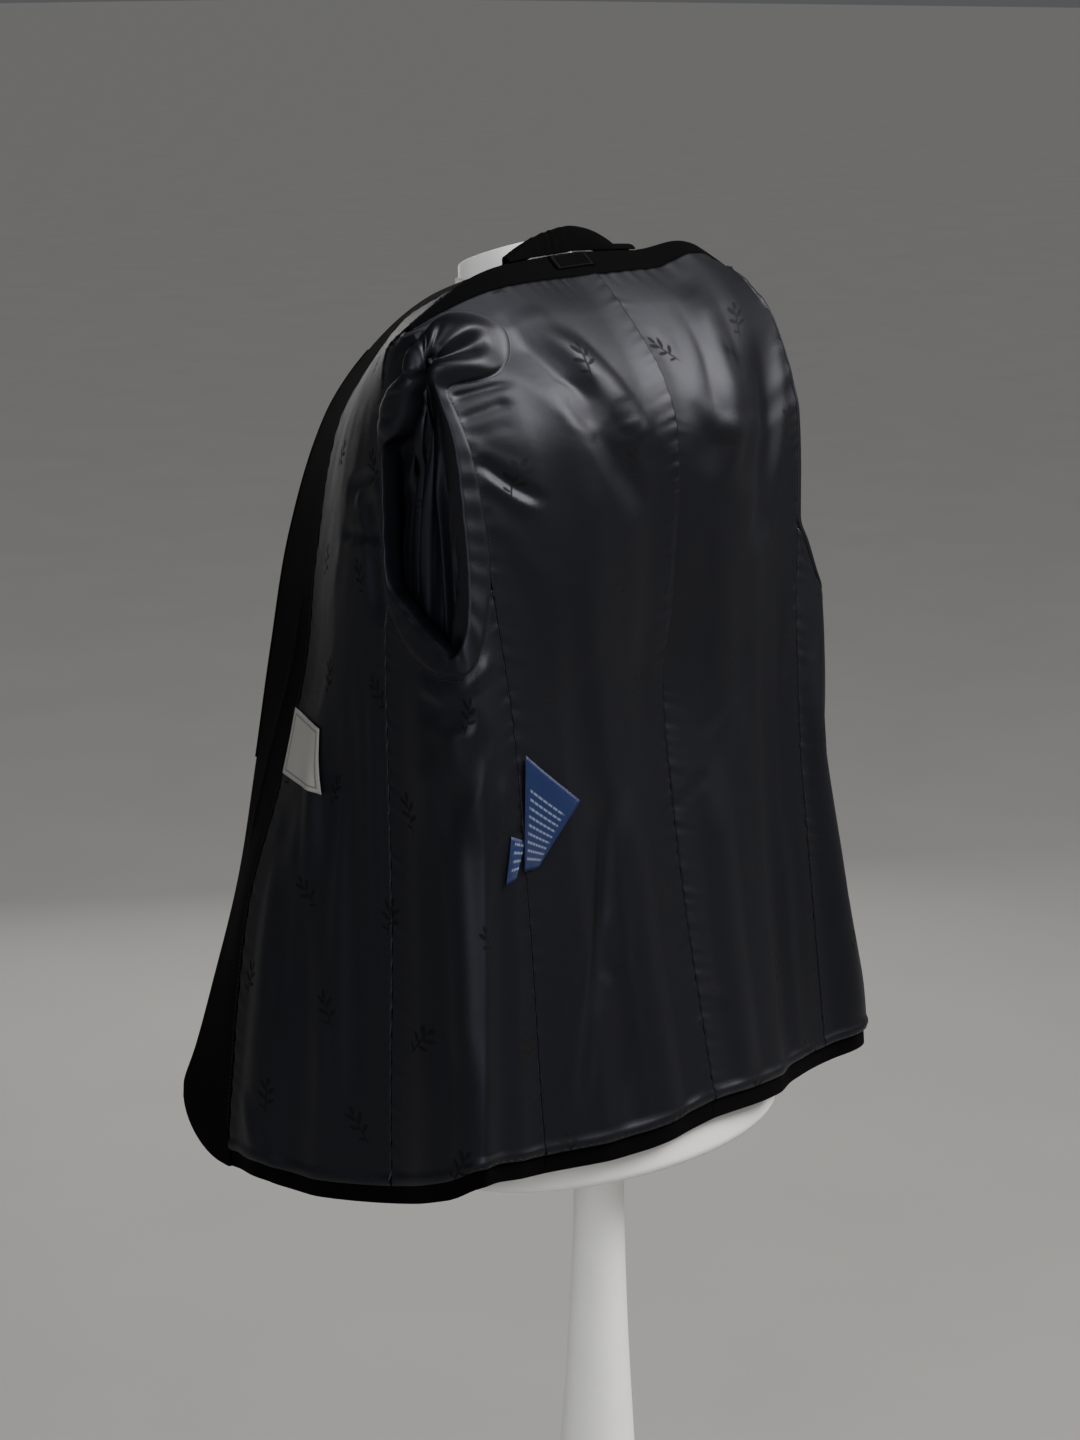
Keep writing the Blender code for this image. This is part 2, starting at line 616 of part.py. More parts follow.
def make_neck_facing(left, right):
    """The wool strip round the back of the neck, from shoulder to shoulder."""
    pair = []
    for grid_right, grid_left in zip(right, left):
        pair.append(np.concatenate([grid_right[BACK_SEAM:0:-1], grid_left[: BACK_SEAM + 1]]))
    half = tuple(grid[:, NECK_ROW : CREST_ROW + 1] for grid in pair)
    points, normals = half
    points = shrink_edges(points, SEAM_GAP)
    inner = points + normals * FACING_WALL[0]
    outer = points + normals * FACING_WALL[1]
    wall_between("neck_facing", inner, outer, WOOL, mirrored=BACK_SEAM)


# --- sleeves ---------------------------------------------------------------------------


def armhole_ring(points):
    """Points round the armhole, or the normals there, from under the arm forwards."""
    under = points[BACK_SEAM : FRONT_SEAM + 1, ARMHOLE_ROW]
    front = points[FRONT_SEAM, ARMHOLE_ROW + 1 : CREST_ROW]
    top = 0.5 * (points[FRONT_SEAM, CREST_ROW] + points[BACK_SEAM, CREST_ROW])[None]
    back = points[BACK_SEAM, CREST_ROW - 1 : ARMHOLE_ROW : -1]
    ring = np.concatenate([under, front, top, back])
    return np.roll(ring, -(SIDE_STEPS + 1) // 2, axis=0)


def sleeve_surface(half, hand):
    """Rings of points down the sleeve, as [round, down, xyz]: mouth, head, then the tube."""
    mouth = armhole_ring(half[0])
    centre = mouth.mean(axis=0)
    mouth = mouth + unit(centre - mouth) * MOUTH_INSET
    below_top = (mouth[:, 2].max() - mouth[:, 2]) / SLEEVE_HEAD_BEND
    inwards = -armhole_ring(half[1])
    inwards[:, 1] *= np.clip(below_top, 0, 1)
    inwards = unit(inwards)
    deep = mouth + inwards * SLEEVE_STRAIGHT_IN
    count = len(mouth)
    steps = np.linalg.norm(np.roll(mouth, -1, axis=0) - mouth, axis=1)
    turned = 2 * np.pi * np.concatenate([[0], np.cumsum(steps)[:-1]]) / steps.sum()
    level, x, y, half_x, half_y = (np.array(column) for column in zip(*SLEEVE_SECTIONS))
    rings = np.zeros((count, len(level), 3))
    rings[..., 0] = (x + half_x * np.cos(turned)[:, None]) * hand
    rings[..., 1] = y - half_y * np.sin(turned)[:, None]
    rings[..., 2] = RIM_HEIGHT + level
    high = np.clip((mouth[:, 2] - mouth[:, 2].min()) / np.ptp(mouth[:, 2]), 0, 1)
    inward = UNDERARM_INWARD + (HEAD_INWARD - UNDERARM_INWARD) * high
    turn_in = deep + inwards * inward[:, None]
    first = rings[:, 0]
    drop = (mouth[:, 2] - first[:, 2]) * SLEEVE_LEAD
    lead = first + np.stack([0 * drop, 0 * drop, drop], axis=1)
    head = [mouth]
    for row in range(SLEEVE_HEAD_ROWS):
        t = (row / SLEEVE_HEAD_ROWS) ** SLEEVE_HEAD_SPREAD
        weights = ((1 - t) ** 3, 3 * t * (1 - t) ** 2, 3 * t**2 * (1 - t), t**3)
        head.append(sum(w * p for w, p in zip(weights, (deep, turn_in, lead, first))))
    return np.concatenate([np.stack(head, axis=1), rings], axis=1)


def make_sleeve(side, half, hand):
    tube = sleeve_surface(half, hand)
    along = np.roll(tube, -1, axis=0) - np.roll(tube, 1, axis=0)
    normals = unit(np.cross(np.gradient(tube, axis=1), along))
    away = tube[:, -1] - tube[:, -1].mean(axis=0)
    normals *= np.sign((normals[:, -1] * away).sum())
    normals = unit(normals + np.roll(normals, 1, axis=0) + np.roll(normals, -1, axis=0))
    inner, outer = (tube + normals * height for height in SLEEVE_LINING_WALL)
    wall_between("sleeve_lining_" + side, inner, outer, LINING, ring=True)
    tube, normals = tube[:, 1:], normals[:, 1:]
    inner, outer = (tube + normals * height for height in SLEEVE_WOOL_WALL)
    wall_between("sleeve_" + side, inner, outer, WOOL, ring=True)


# --- collar and lapels, which fold to the inside ------------------------------------------



def make_collar():
    """The stand rises from the neck seam; the leaf folds over it, down towards the form."""
    across = np.linspace(-COLLAR_REACH, COLLAR_REACH, COLLAR_STEPS + 1)
    share = across / np.where(across > 0, COLLAR_RUN_OUT[0], COLLAR_RUN_OUT[1])
    height = np.maximum(STAND_HEIGHT * (1 - share**2), STAND_LOWEST)
    foot = np.stack([across, np.full_like(across, CREST_Y), crest_height(across)], axis=1)
    foot[:, 2] += FACING_WALL[1] + SEAM_GAP
    foot[across < 0, 2] += right_rise(foot[across < 0] - (0, 0, RIM_HEIGHT))
    top = foot + np.stack([0 * across, -STAND_LEAN + 0 * across, height], axis=1)
    outer = np.stack([foot, foot * 0.5 + top * 0.5 + (0, 0.001, 0), top], axis=1)
    inner = outer + (0, -COLLAR_WALL, 0)
    wall_between("collar_stand", inner, outer, WOOL)
    drop = LEAF_DROP + height * LEAF_DROP_SHARE
    fall = np.stack([0 * across, 0 * across, -drop], axis=1)
    top = top + (0, -COLLAR_WALL - 2 * SEAM_GAP, 0)
    leaf = np.stack([top, top + fall / 2, top + fall], axis=1)
    wall_between("collar_leaf", leaf + (0, -COLLAR_WALL, 0), leaf, WOOL)


def make_lapel(side, half):
    """The lapel, rolled back along the front edge and lying inside the shell."""
    level = lattice_places()[1]
    points, normals = half
    rows = np.where((level[EDGE_COLUMN] > LAPEL_LOW) & (level[EDGE_COLUMN] < LAPEL_HIGH))[0]
    edge = points[EDGE_COLUMN, rows]
    edge_normals = normals[EDGE_COLUMN, rows]
    forward = unit(edge - points[EDGE_COLUMN - 1, rows])
    share = (level[EDGE_COLUMN, rows] - LAPEL_LOW) / (LAPEL_HIGH - LAPEL_LOW)
    width = LAPEL_POINT + (LAPEL_WIDTH - LAPEL_POINT) * share**0.8
    reach = width * FACING_STEPS / (GIRTHS[7] - GIRTHS[6])
    roll = (edge + forward * LAPEL_ROLL[1], edge + forward * LAPEL_ROLL[0])
    inner = [roll[0] + edge_normals * lift for lift in (LAPEL_TOP, LAPEL_WALL[0])]
    outer = [roll[1] + edge_normals * lift for lift in (LAPEL_TOP, LAPEL_WALL[1])]
    for step in range(LAPEL_STEPS + 1):
        place = np.stack([EDGE_COLUMN - 0.1 - reach * step / LAPEL_STEPS, rows], axis=1)
        inside, out = (between_points(grid, place) for grid in half)
        inner.append(inside + out * LAPEL_WALL[0])
        outer.append(inside + out * LAPEL_WALL[1])
    wall_between("lapel_" + side, np.stack(inner), np.stack(outer), WOOL)


# --- labels and buttons ---------------------------------------------------------------------



def make_label(name, corners, finish, half):
    """A label made from its panel's points, moved out."""
    corners = np.array(corners, float)
    share = np.linspace(0, 1, LABEL_STEPS + 1)
    s, t = np.meshgrid(share, share, indexing="ij")
    s, t = s[..., None], t[..., None]
    low = (1 - s) * corners[0] + s * corners[1]
    high = (1 - s) * corners[3] + s * corners[2]
    place = (1 - t) * low + t * high
    points, normals = (between_points(grid, place) for grid in half)
    inner = points + normals * LABEL_WALL[0]
    wall_between(name, inner, points + normals * LABEL_WALL[1], finish)


def between_points(grid, place):
    """Values on the lattice's triangles at places given in whole and part columns and rows."""
    column = np.minimum(np.floor(place[..., 0]).astype(int), grid.shape[0] - 2)
    row = np.minimum(np.floor(place[..., 1]).astype(int), grid.shape[1] - 2)
    s, t = (place[..., 0] - column)[..., None], (place[..., 1] - row)[..., None]
    low, next_low = grid[column, row], grid[column + 1, row]
    high, next_high = grid[column, row + 1], grid[column + 1, row + 1]
    near = low + s * (next_low - low) + t * (next_high - next_low)
    far = low + t * (high - low) + s * (next_high - high)
    return np.where(s > t, near, far)


def make_neck_label(left, right):
    """A small woven label on the neck facing, across the centre back."""
    rows = NECK_ROW + np.array(NECK_LABEL_SPAN)
    places = []
    for width in NECK_LABEL_REACHES:
        columns = np.linspace(0, width, 4) * BACK_STEPS / GIRTHS[2]
        places.append(np.stack(np.meshgrid(columns, rows, indexing="ij"), axis=2))
    grids = []
    for grid_left, grid_right in zip(left, right):
        near = between_points(grid_left, places[0])
        far = between_points(grid_right, places[1])
        grids.append(np.concatenate([far[:0:-1], near]))
    points, normals = grids
    inner = points + normals * LABEL_WALL[0]
    wall_between("neck_label", inner, points + normals * LABEL_WALL[1], WOOL)


def make_buttons(left):
    """Two plain buttons on the wool side, now turned towards the form."""
    for name, place in BUTTONS:
        point, normal = (between_points(grid, np.array(place)) for grid in left)
        normal = unit(normal)
        across = unit(np.cross(normal, (0, 0, 1)))
        up = np.cross(normal, across)
        mesh = bmesh.new()
        rings = []
        for depth, radius in BUTTON_PROFILE:
            middle = point + normal * (SHELL_WALL[0] - BUTTON_CLEARANCE - depth)
            ring = []
            for s in range(BUTTON_SEGMENTS):
                turn = 2 * math.pi * s / BUTTON_SEGMENTS
                spread = across * math.cos(turn) + up * math.sin(turn)
                ring.append(mesh.verts.new(middle + spread * radius))
            rings.append(ring)
        close_rings(mesh, rings)
        finished(name, mesh, HORN)


def main():
    for thing in list(bpy.data.objects):
        bpy.data.objects.remove(thing)
    make_form()
    left, right = lattice(1), lattice(-1)
    for side, half, hand in (("left", left, 1), ("right", right, -1)):
        make_shell(side, half)
        make_lining(side, half)
        make_sleeve(side, half, hand)
        make_lapel(side, half)
    make_back_lining_with_pleat(left, right)
    make_neck_facing(left, right)
    make_collar()
    make_label("inside_label", INSIDE_LABEL, CREAM, left)
    make_label("care_label", CARE_LABEL, BLUE, left)
    make_neck_label(left, right)
    make_buttons(left)


main()
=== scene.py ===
"""A tailored blazer, turned inside out and open, on a limbless white display form.

Metres, +Z up. The form faces -Y and its left is +X. The cloth is read from one surface,
by its distance from the centre back along the cloth (minus on the form's right) and its
reach up the cloth from the form's rim.
"""

import math

import bpy
import numpy as np
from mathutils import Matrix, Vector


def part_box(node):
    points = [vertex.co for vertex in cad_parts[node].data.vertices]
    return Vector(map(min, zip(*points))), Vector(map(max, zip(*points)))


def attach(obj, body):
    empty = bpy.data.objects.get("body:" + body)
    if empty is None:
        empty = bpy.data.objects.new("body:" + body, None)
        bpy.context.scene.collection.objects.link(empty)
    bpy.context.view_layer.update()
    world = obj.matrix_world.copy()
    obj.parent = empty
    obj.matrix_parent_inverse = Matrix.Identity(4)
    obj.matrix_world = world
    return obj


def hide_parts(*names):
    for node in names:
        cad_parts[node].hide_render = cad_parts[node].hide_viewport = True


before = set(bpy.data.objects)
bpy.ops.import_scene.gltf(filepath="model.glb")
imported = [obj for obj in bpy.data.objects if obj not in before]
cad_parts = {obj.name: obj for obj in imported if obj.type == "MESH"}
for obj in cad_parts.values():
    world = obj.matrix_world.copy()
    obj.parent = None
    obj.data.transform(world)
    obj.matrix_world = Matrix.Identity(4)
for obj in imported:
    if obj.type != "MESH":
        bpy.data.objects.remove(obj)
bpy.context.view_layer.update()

# --- camera ---------------------------------------------------------------------------
# It stands behind the form's left shoulder, a little above it, and looks slightly down.

CAMERA_TURN = math.radians(48.5)
CAMERA_AWAY, CAMERA_ASIDE, CAMERA_HEIGHT = 2.60, -0.051, 1.78
CAMERA_DOWN = 13.5
LENS, FILM_HEIGHT = 53.33, 24
camera_data = bpy.data.cameras.new("camera")
camera_data.lens = LENS
camera_data.sensor_fit = "VERTICAL"
camera_data.sensor_height = FILM_HEIGHT
camera = bpy.data.objects.new("camera", camera_data)
camera.location = (
    CAMERA_AWAY * math.sin(CAMERA_TURN) - CAMERA_ASIDE * math.cos(CAMERA_TURN),
    CAMERA_AWAY * math.cos(CAMERA_TURN) + CAMERA_ASIDE * math.sin(CAMERA_TURN),
    CAMERA_HEIGHT,
)
camera.rotation_euler = (math.radians(90 - CAMERA_DOWN), 0, math.radians(180) - CAMERA_TURN)
bpy.context.scene.collection.objects.link(camera)
bpy.context.scene.camera = camera


# --- floor and light --------------------------------------------------------------------
# A plain pale studio floor. A broad soft light hangs above the form's back, on its right,
# weaker ones fill the left side and the front, and the ceiling and the room add a little
# light all round.


def new_mesh(name, points, quads):
    """An object with these points and four-sided faces, smooth shaded."""
    data = bpy.data.meshes.new(name)
    points = np.asarray(points, np.float32).reshape(-1, 3)
    quads = np.asarray(quads, np.int32).reshape(-1, 4)
    data.vertices.add(len(points))
    data.vertices.foreach_set("co", points.ravel())
    data.loops.add(quads.size)
    data.loops.foreach_set("vertex_index", quads.ravel())
    data.polygons.add(len(quads))
    data.polygons.foreach_set("loop_start", np.arange(0, quads.size, 4, dtype=np.int32))
    data.polygons.foreach_set("use_smooth", np.ones(len(quads), bool))
    data.update(calc_edges=True)
    data.validate()
    thing = bpy.data.objects.new(name, data)
    bpy.context.scene.collection.objects.link(thing)
    return thing


class Wire:
    """One output socket. Sums and products of wires and numbers add Math nodes."""

    def __init__(self, socket):
        self.socket = socket

    def math(self, operation, *others):
        return node(self.socket.id_data, "ShaderNodeMath", self, *others, operation=operation)

    def __add__(self, other):
        return self.math("ADD", other)

    def __mul__(self, other):
        return self.math("MULTIPLY", other)

    def __sub__(self, other):
        return self.math("SUBTRACT", other)

    def __truediv__(self, other):
        return self.math("DIVIDE", other)

    def __neg__(self):
        return self * -1

    def __rsub__(self, other):
        return -self + other

    __radd__, __rmul__ = __add__, __mul__

    def fraction(self):
        return self.math("FRACT")

    def whole(self):
        return self.math("FLOOR")

    def wave(self):
        return self.math("SINE")

    def above(self, low, high):
        """0 below low, 1 above high, and smooth between."""
        ranged = {"interpolation_type": "SMOOTHSTEP"}
        tree = self.socket.id_data
        return node(tree, "ShaderNodeMapRange", self, low, high, 0.0, 1.0, **ranged)


def node(tree, kind, *values, out=0, into=None, **settings):
    """Adds a node: its settings, then values or wires by place, then those by socket name."""
    made = tree.nodes.new(kind)
    for key, value in settings.items():
        setattr(made, key, value)
    for key, value in [*enumerate(values), *(into or {}).items()]:
        if isinstance(value, Wire):
            tree.links.new(value.socket, made.inputs[key])
        elif value is not None:
            made.inputs[key].default_value = value
    return Wire(made.outputs[out])


def new_finish(name, **constants):
    """A material and its shader node, with plain values set on the shader's sockets."""
    material = bpy.data.materials.new(name)
    material.use_nodes = True
    shader = material.node_tree.nodes["Principled BSDF"]
    for key, value in constants.items():
        shader.inputs[key.replace("_", " ")].default_value = value
    return material, material.node_tree, shader


def drive(shader, **wires):
    for key, wire in wires.items():
        shader.id_data.links.new(wire.socket, shader.inputs[key.replace("_", " ")])


def mixed(tree, share, low, high):
    """A colour between two colours."""
    into = {0: share, 6: (*low, 1), 7: (*high, 1)}
    return node(tree, "ShaderNodeMix", data_type="RGBA", into=into, out=2)


def bumped(tree, height, distance, strength=1.0):
    into = {"Height": height, "Distance": distance, "Strength": strength}
    return node(tree, "ShaderNodeBump", into=into)


def noisy(tree, scale, detail=3.0, at=None):
    at = at or node(tree, "ShaderNodeTexCoord", out=3)
    into = {"Vector": at, "Scale": scale, "Detail": detail}
    return node(tree, "ShaderNodeTexNoise", into=into)


FLOOR_HALF = 90.0
FLOOR_GREYS = ((0.25, 0.245, 0.235), (0.28, 0.275, 0.26))
floor_material, tree, shader = new_finish("floor_finish", Roughness=0.85)
drive(shader, Base_Color=mixed(tree, noisy(tree, 3.0), *FLOOR_GREYS))
corners = [(x * FLOOR_HALF, y * FLOOR_HALF, 0) for x, y in ((-1, -1), (1, -1), (1, 1), (-1, 1))]
floor = new_mesh("studio_floor", corners, [(0, 1, 2, 3)])
floor.data.materials.append(floor_material)

# Name, place, what it points at, width, height, watts, colour.
LAMPS = (
    ("key_light", (-1.60, 2.30, 3.50), (0, 0, 1.25), 2.4, 1.3, 195, (1.0, 0.98, 0.95)),
    ("fill_light", (2.80, 1.30, 2.10), (0, 0, 1.05), 1.8, 1.8, 58, (0.93, 0.96, 1.0)),
    ("front_light", (-2.00, -2.60, 1.50), (0, 0, 1.10), 2.4, 2.0, 30, (1.0, 0.98, 0.95)),
)
for name, place, target, width, height, watts, colour in LAMPS:
    lamp_data = bpy.data.lights.new(name, "AREA")
    lamp_data.shape = "RECTANGLE"
    lamp_data.size, lamp_data.size_y = width, height
    lamp_data.energy, lamp_data.color = watts, colour
    lamp = bpy.data.objects.new(name, lamp_data)
    lamp.location = place
    towards = lamp.location.copy()
    towards.x, towards.y, towards.z = (t - p for t, p in zip(target, place))
    lamp.rotation_euler = towards.to_track_quat("-Z", "Y").to_euler()
    bpy.context.scene.collection.objects.link(lamp)
CEILING_STRENGTH, CEILING_BREADTH, CEILING_TURN = 1.6, math.radians(60), (-28, -14, 0)
sun_data = bpy.data.lights.new("ceiling_light", "SUN")
sun_data.energy, sun_data.angle = CEILING_STRENGTH, CEILING_BREADTH
sun = bpy.data.objects.new("ceiling_light", sun_data)
sun.rotation_euler = [math.radians(angle) for angle in CEILING_TURN]
bpy.context.scene.collection.objects.link(sun)
ROOM_COLOUR, ROOM_STRENGTH = (0.80, 0.82, 0.85, 1), 0.12
world = bpy.data.worlds.new("room")
world.use_nodes = True
room = world.node_tree.nodes["Background"].inputs
room["Color"].default_value, room["Strength"].default_value = ROOM_COLOUR, ROOM_STRENGTH
bpy.context.scene.world = world


# --- display form ---------------------------------------------------------------------------
# A limbless torso covered in white jersey, cut off at the hips with a firm rim, under a
# slanted cap with a small knob where the neck ends. It stands on a turned, painted column
# on a round foot; the foot is out of the photo's sight, so it is finished plainly.

RIM_HEIGHT = 0.800
# Level above the rim, half width, half depth, centre y, radius of the neck held there.
TORSO = (
    (0.000, 0.1890, 0.1100, 0.006, 0), (0.006, 0.1930, 0.1130, 0.006, 0),
    (0.030, 0.1905, 0.1090, 0.006, 0), (0.100, 0.1800, 0.0980, 0.002, 0),
    (0.200, 0.1600, 0.0860, -0.006, 0), (0.280, 0.1480, 0.0780, -0.014, 0),
    (0.360, 0.1440, 0.0780, -0.025, 0), (0.440, 0.1440, 0.0850, -0.035, 0),
    (0.520, 0.1460, 0.0970, -0.043, 0), (0.600, 0.1470, 0.1000, -0.048, 0.040),
    (0.650, 0.1440, 0.0820, -0.056, 0.044), (0.685, 0.1400, 0.0580, -0.050, 0.047),
    (0.702, 0.1280, 0.0360, -0.038, 0.049), (0.7165, 0.1140, 0.0200, -0.034, 0.0495),
)
TORSO_RIDGE = ((0.7170, 0.1120, 0.0125, -0.0345), (0.7300, 0.0960, 0.0060, -0.0330))
NECK_RADIUS, NECK_CENTRE_Y = 0.0470, -0.096
CAP_SLANT = math.tan(math.radians(18))
CAP_FOOT = RIM_HEIGHT + 0.7173
# Whether the ring lies on the slant, its radius, height and centre y from the neck's.
CAP_PROFILE = (
    (0, 0.0002, 0.0, 0.0), (0, 0.0455, 0.0, 0.0), (0, 0.0467, 0.0004, 0.0),
    (0, 0.0470, 0.0014, 0.0),
    (1, 0.0470, 0.0050, 0.0), (1, 0.0466, 0.0062, 0.0), (1, 0.0455, 0.0069, 0.0),
    (1, 0.0400, 0.0071, -0.002), (1, 0.0200, 0.0072, -0.010), (1, 0.0082, 0.0073, -0.018),
    (1, 0.0066, 0.0080, -0.018), (1, 0.0050, 0.0092, -0.018), (1, 0.0034, 0.0108, -0.018),
    (1, 0.0020, 0.0124, -0.018), (1, 0.0008, 0.0131, -0.018), (1, 0.0001, 0.0133, -0.018),
)
COLUMN = (
    (0.0253, 0.060), (0.120, 0.0555), (0.260, 0.0480), (0.400, 0.0385), (0.500, 0.0325),
    (0.600, 0.0265), (0.680, 0.0232), (0.740, 0.0218), (0.7997, 0.0215),
)
FOOT = ((0.0, 0.157), (0.0012, 0.1605), (0.004, 0.162), (0.014, 0.162), (0.0175, 0.1605),
        (0.020, 0.156), (0.0215, 0.150), (0.025, 0.100), (0.0252, 0.062))


def curve_weights(knots, at):
    """Rows of weights that run a smooth curve through values given at the knots."""
    knots = np.asarray(knots, float)
    at = np.clip(np.asarray(at, float), knots[0], knots[-1])
    count = len(knots)
    slopes = np.zeros((count, count))
    for k in range(count):
        before, after = max(k - 1, 0), min(k + 1, count - 1)
        slopes[k, after] += 1 / (knots[after] - knots[before])
        slopes[k, before] -= 1 / (knots[after] - knots[before])
    low = np.clip(np.searchsorted(knots, at, side="right") - 1, 0, count - 2)
    span = (knots[low + 1] - knots[low])[:, None]
    t = (at - knots[low])[:, None] / span
    rows = np.eye(count)
    value = (2 * t**3 - 3 * t**2 + 1) * rows[low] + (3 * t**2 - 2 * t**3) * rows[low + 1]
    return value + span * ((t**3 - 2 * t**2 + t) * slopes[low] + (t**3 - t**2) * slopes[low + 1])


def on_curve(pairs, at):
    """A value read from a smooth curve through (place, value) pairs."""
    pairs = np.asarray(pairs, float)
    at = np.asarray(at, float)
    return (curve_weights(pairs[:, 0], at.ravel()) @ pairs[:, 1]).reshape(at.shape)


def closed_rings(name, rings):
    """A closed body from a stack of rings, [ring, point, xyz], capped at both ends."""
    rings = np.asarray(rings)
    count, around = rings.shape[:2]
    index = np.arange(count * around).reshape(count, around)
    after = np.roll(index, -1, axis=1)
    sides = np.stack([index[:-1], after[:-1], after[1:], index[1:]], axis=-1).reshape(-1, 4)
    half = np.arange(around // 2 - 1)
    ends = []
    for ring, turn in ((index[0], -1), (index[-1], 1)):
        corners = [ring[half], ring[half + 1], ring[-2 - half], ring[-1 - half]]
        ends.append(np.stack(corners, axis=-1)[:, ::turn])
    return new_mesh(name, rings, np.concatenate([sides, *ends]))


def belongs(thing, slot, *nodes, material):
    """The piece stands for these solids, with its finish; its slot is not used."""
    thing.data.materials.append(material)
    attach(thing, "root")
    if nodes:
        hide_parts(*nodes)


def turned(name, profile, steps, slot, nodes, material):
    """A lathe-turned piece from (height, radius) pairs."""
    angle = np.linspace(0, 2 * np.pi, steps, endpoint=False)
    x, y = np.cos(angle), np.sin(angle)
    rings = [np.stack([r * x, r * y, 0 * angle + z], axis=1) for z, r in profile]
    belongs(closed_rings(name, rings), slot, *nodes, material=material)


jersey, tree, shader = new_finish(
    "form_jersey", Roughness=0.78, Sheen_Weight=0.15, Sheen_Roughness=0.5
)
drive(shader, Base_Color=mixed(tree, noisy(tree, 9.0), (0.78, 0.76, 0.72), (0.83, 0.81, 0.77)))
at = node(tree, "ShaderNodeTexCoord", out=3)
knit = node(tree, "ShaderNodeTexWave", into={"Vector": at, "Scale": 420.0, "Distortion": 1.5})
drive(shader, Normal=bumped(tree, knit, 0.0003, 0.4))

paint, tree, shader = new_finish("form_paint", Coat_Weight=0.15, Coat_Roughness=0.25)
worn = noisy(tree, 26.0, 5.0)
PAINT_WHITES = ((0.90, 0.885, 0.85), (0.86, 0.845, 0.80))
drive(shader, Base_Color=mixed(tree, worn.above(0.35, 0.75), *PAINT_WHITES))
drive(shader, Roughness=worn * 0.16 + 0.34)
drive(shader, Normal=bumped(tree, noisy(tree, 160.0), 0.0004, 0.25))

FRONT_RISES, FRONT_BLEND = 0.655, 0.035  # where the chest starts to meet the neck, and over what
levels = np.concatenate(
    [np.linspace(0, 0.012, 7), np.linspace(0.02, 0.64, 63), np.linspace(0.645, 0.7165, 16)]
)
table = np.array(TORSO)
shape = curve_weights(table[:, 0], levels) @ table[:, 1:]
angle = np.linspace(0, 2 * np.pi, 144, endpoint=False)
rings = []
for level, (half_width, half_depth, centre_y, neck) in zip(levels, shape):
    x = half_width * np.cos(angle)
    y = centre_y + half_depth * np.sin(angle)
    inside = np.clip(1 - (x / max(neck, 1e-4)) ** 2, 0, 1)
    front = NECK_CENTRE_Y - neck * np.sqrt(inside)
    at_neck = (np.sin(angle) < 0) & (inside > 0) & (level > FRONT_RISES)
    grown = np.where(at_neck, np.clip(y - front, 0, 1), 0)
    rise = np.clip((level - FRONT_RISES) / FRONT_BLEND, 0, 1)
    y = y - grown * rise**2 * (3 - 2 * rise)
    rings.append(np.stack([x, y, 0 * x + RIM_HEIGHT + level], axis=1))
for level, half_width, half_depth, centre_y in TORSO_RIDGE:
    x, y = half_width * np.cos(angle), centre_y + half_depth * np.sin(angle)
    rings.append(np.stack([x, y, 0 * x + RIM_HEIGHT + level], axis=1))
belongs(closed_rings("display_form_body", rings), "form_paint", "form_torso", material=jersey)

rings = []
for slanted, radius, height, centre_y in CAP_PROFILE:
    y = centre_y + radius * np.sin(angle)
    lift = height + slanted * (NECK_RADIUS + y) * CAP_SLANT
    rings.append(np.stack([radius * np.cos(angle), NECK_CENTRE_Y + y, CAP_FOOT + lift], axis=1))
belongs(closed_rings("display_neck_cap", rings), "form_paint", "form_neck_cap", material=paint)

heights = np.linspace(COLUMN[0][0], COLUMN[-1][0], 60)
column_profile = list(zip(heights, on_curve(COLUMN, heights)))
turned("display_column", column_profile, 96, "form_paint", ["form_column"], paint)
turned("display_foot", FOOT, 128, "form_paint", ["form_base"], paint)


# --- wool shell ---------------------------------------------------------------------------
# Back, side and front pieces in plain matt black wool. The garment is inside out, so the
# shell is the inner layer: it shows below the lining as a narrow band at the hem, and
# from inside between the open fronts.

# The cloth's surface, in millimetres: one row for each section, by level above the rim, and
# a point for each line down the half blazer, (x, y) or, over the shoulder, (x, y, z). The
# lines are the centre back, shoulder blade, back seam, side, front seam, chest, facing and
# front edge. GIRTHS is how far each lies from the centre back, in metres.
GIRTHS = (0.0, 0.095, 0.180, 0.245, 0.335, 0.430, 0.530, 0.610)
SECTIONS = (
    (-60, (0, 137), (96, 132), (176, 96), (240, 78), (229, -26),
     (236, -130), (223, -227), (201, -322)),
    (0, (0, 133), (96, 128), (175, 95), (238, 78), (228, -27),
     (235, -130), (220, -228), (197, -318)),
    (50, (0, 126), (96, 122), (175, 92), (236, 78), (225, -30),
     (231, -130), (214, -228), (189, -303)),
    (100, (0, 115), (96, 113), (175, 87), (233, 76), (221, -33),
     (226, -130), (206, -230), (180, -292)),
    (200, (0, 94), (95, 97), (174, 78), (223, 66), (213, -38),
     (214, -130), (190, -227), (160, -275)),
    (300, (0, 77), (95, 84), (174, 68), (215, 54), (207, -45),
     (204, -126), (176, -202), (140, -271)),
    (400, (0, 64), (95, 74), (176, 58), (214, 46), (204, -50),
     (194, -116), (162, -184), (125, -264)),
    (500, (0, 68), (96, 75), (185, 46), (213, 32), (202, -52),
     (186, -115), (150, -180), (111, -253)),
    (600, (0, 70), (96, 70), (193, 31), (210, 14), (200, -55),
     (177, -112), (140, -165), (100, -220)),
    (650, (0, 54), (95, 52), (198, 10, 648), (207, -8, 648),
     (199, -56, 646), (170, -100, 650), (136, -133, 652),
     (98, -172, 658)),
    (690, (0, 18, 697), (90, 16, 697), (200, -11, 680), (204, -22, 680),
     (199, -50, 679), (162, -74, 690), (127, -90, 700),
     (89, -112, 706)),
    (720, (0, -30, 742), (85, -30, 737), (197, -30, 697), (198, -32, 697),
     (195, -32, 698), (155, -32, 718), (120, -32, 731),
     (78, -32, 738)),
)
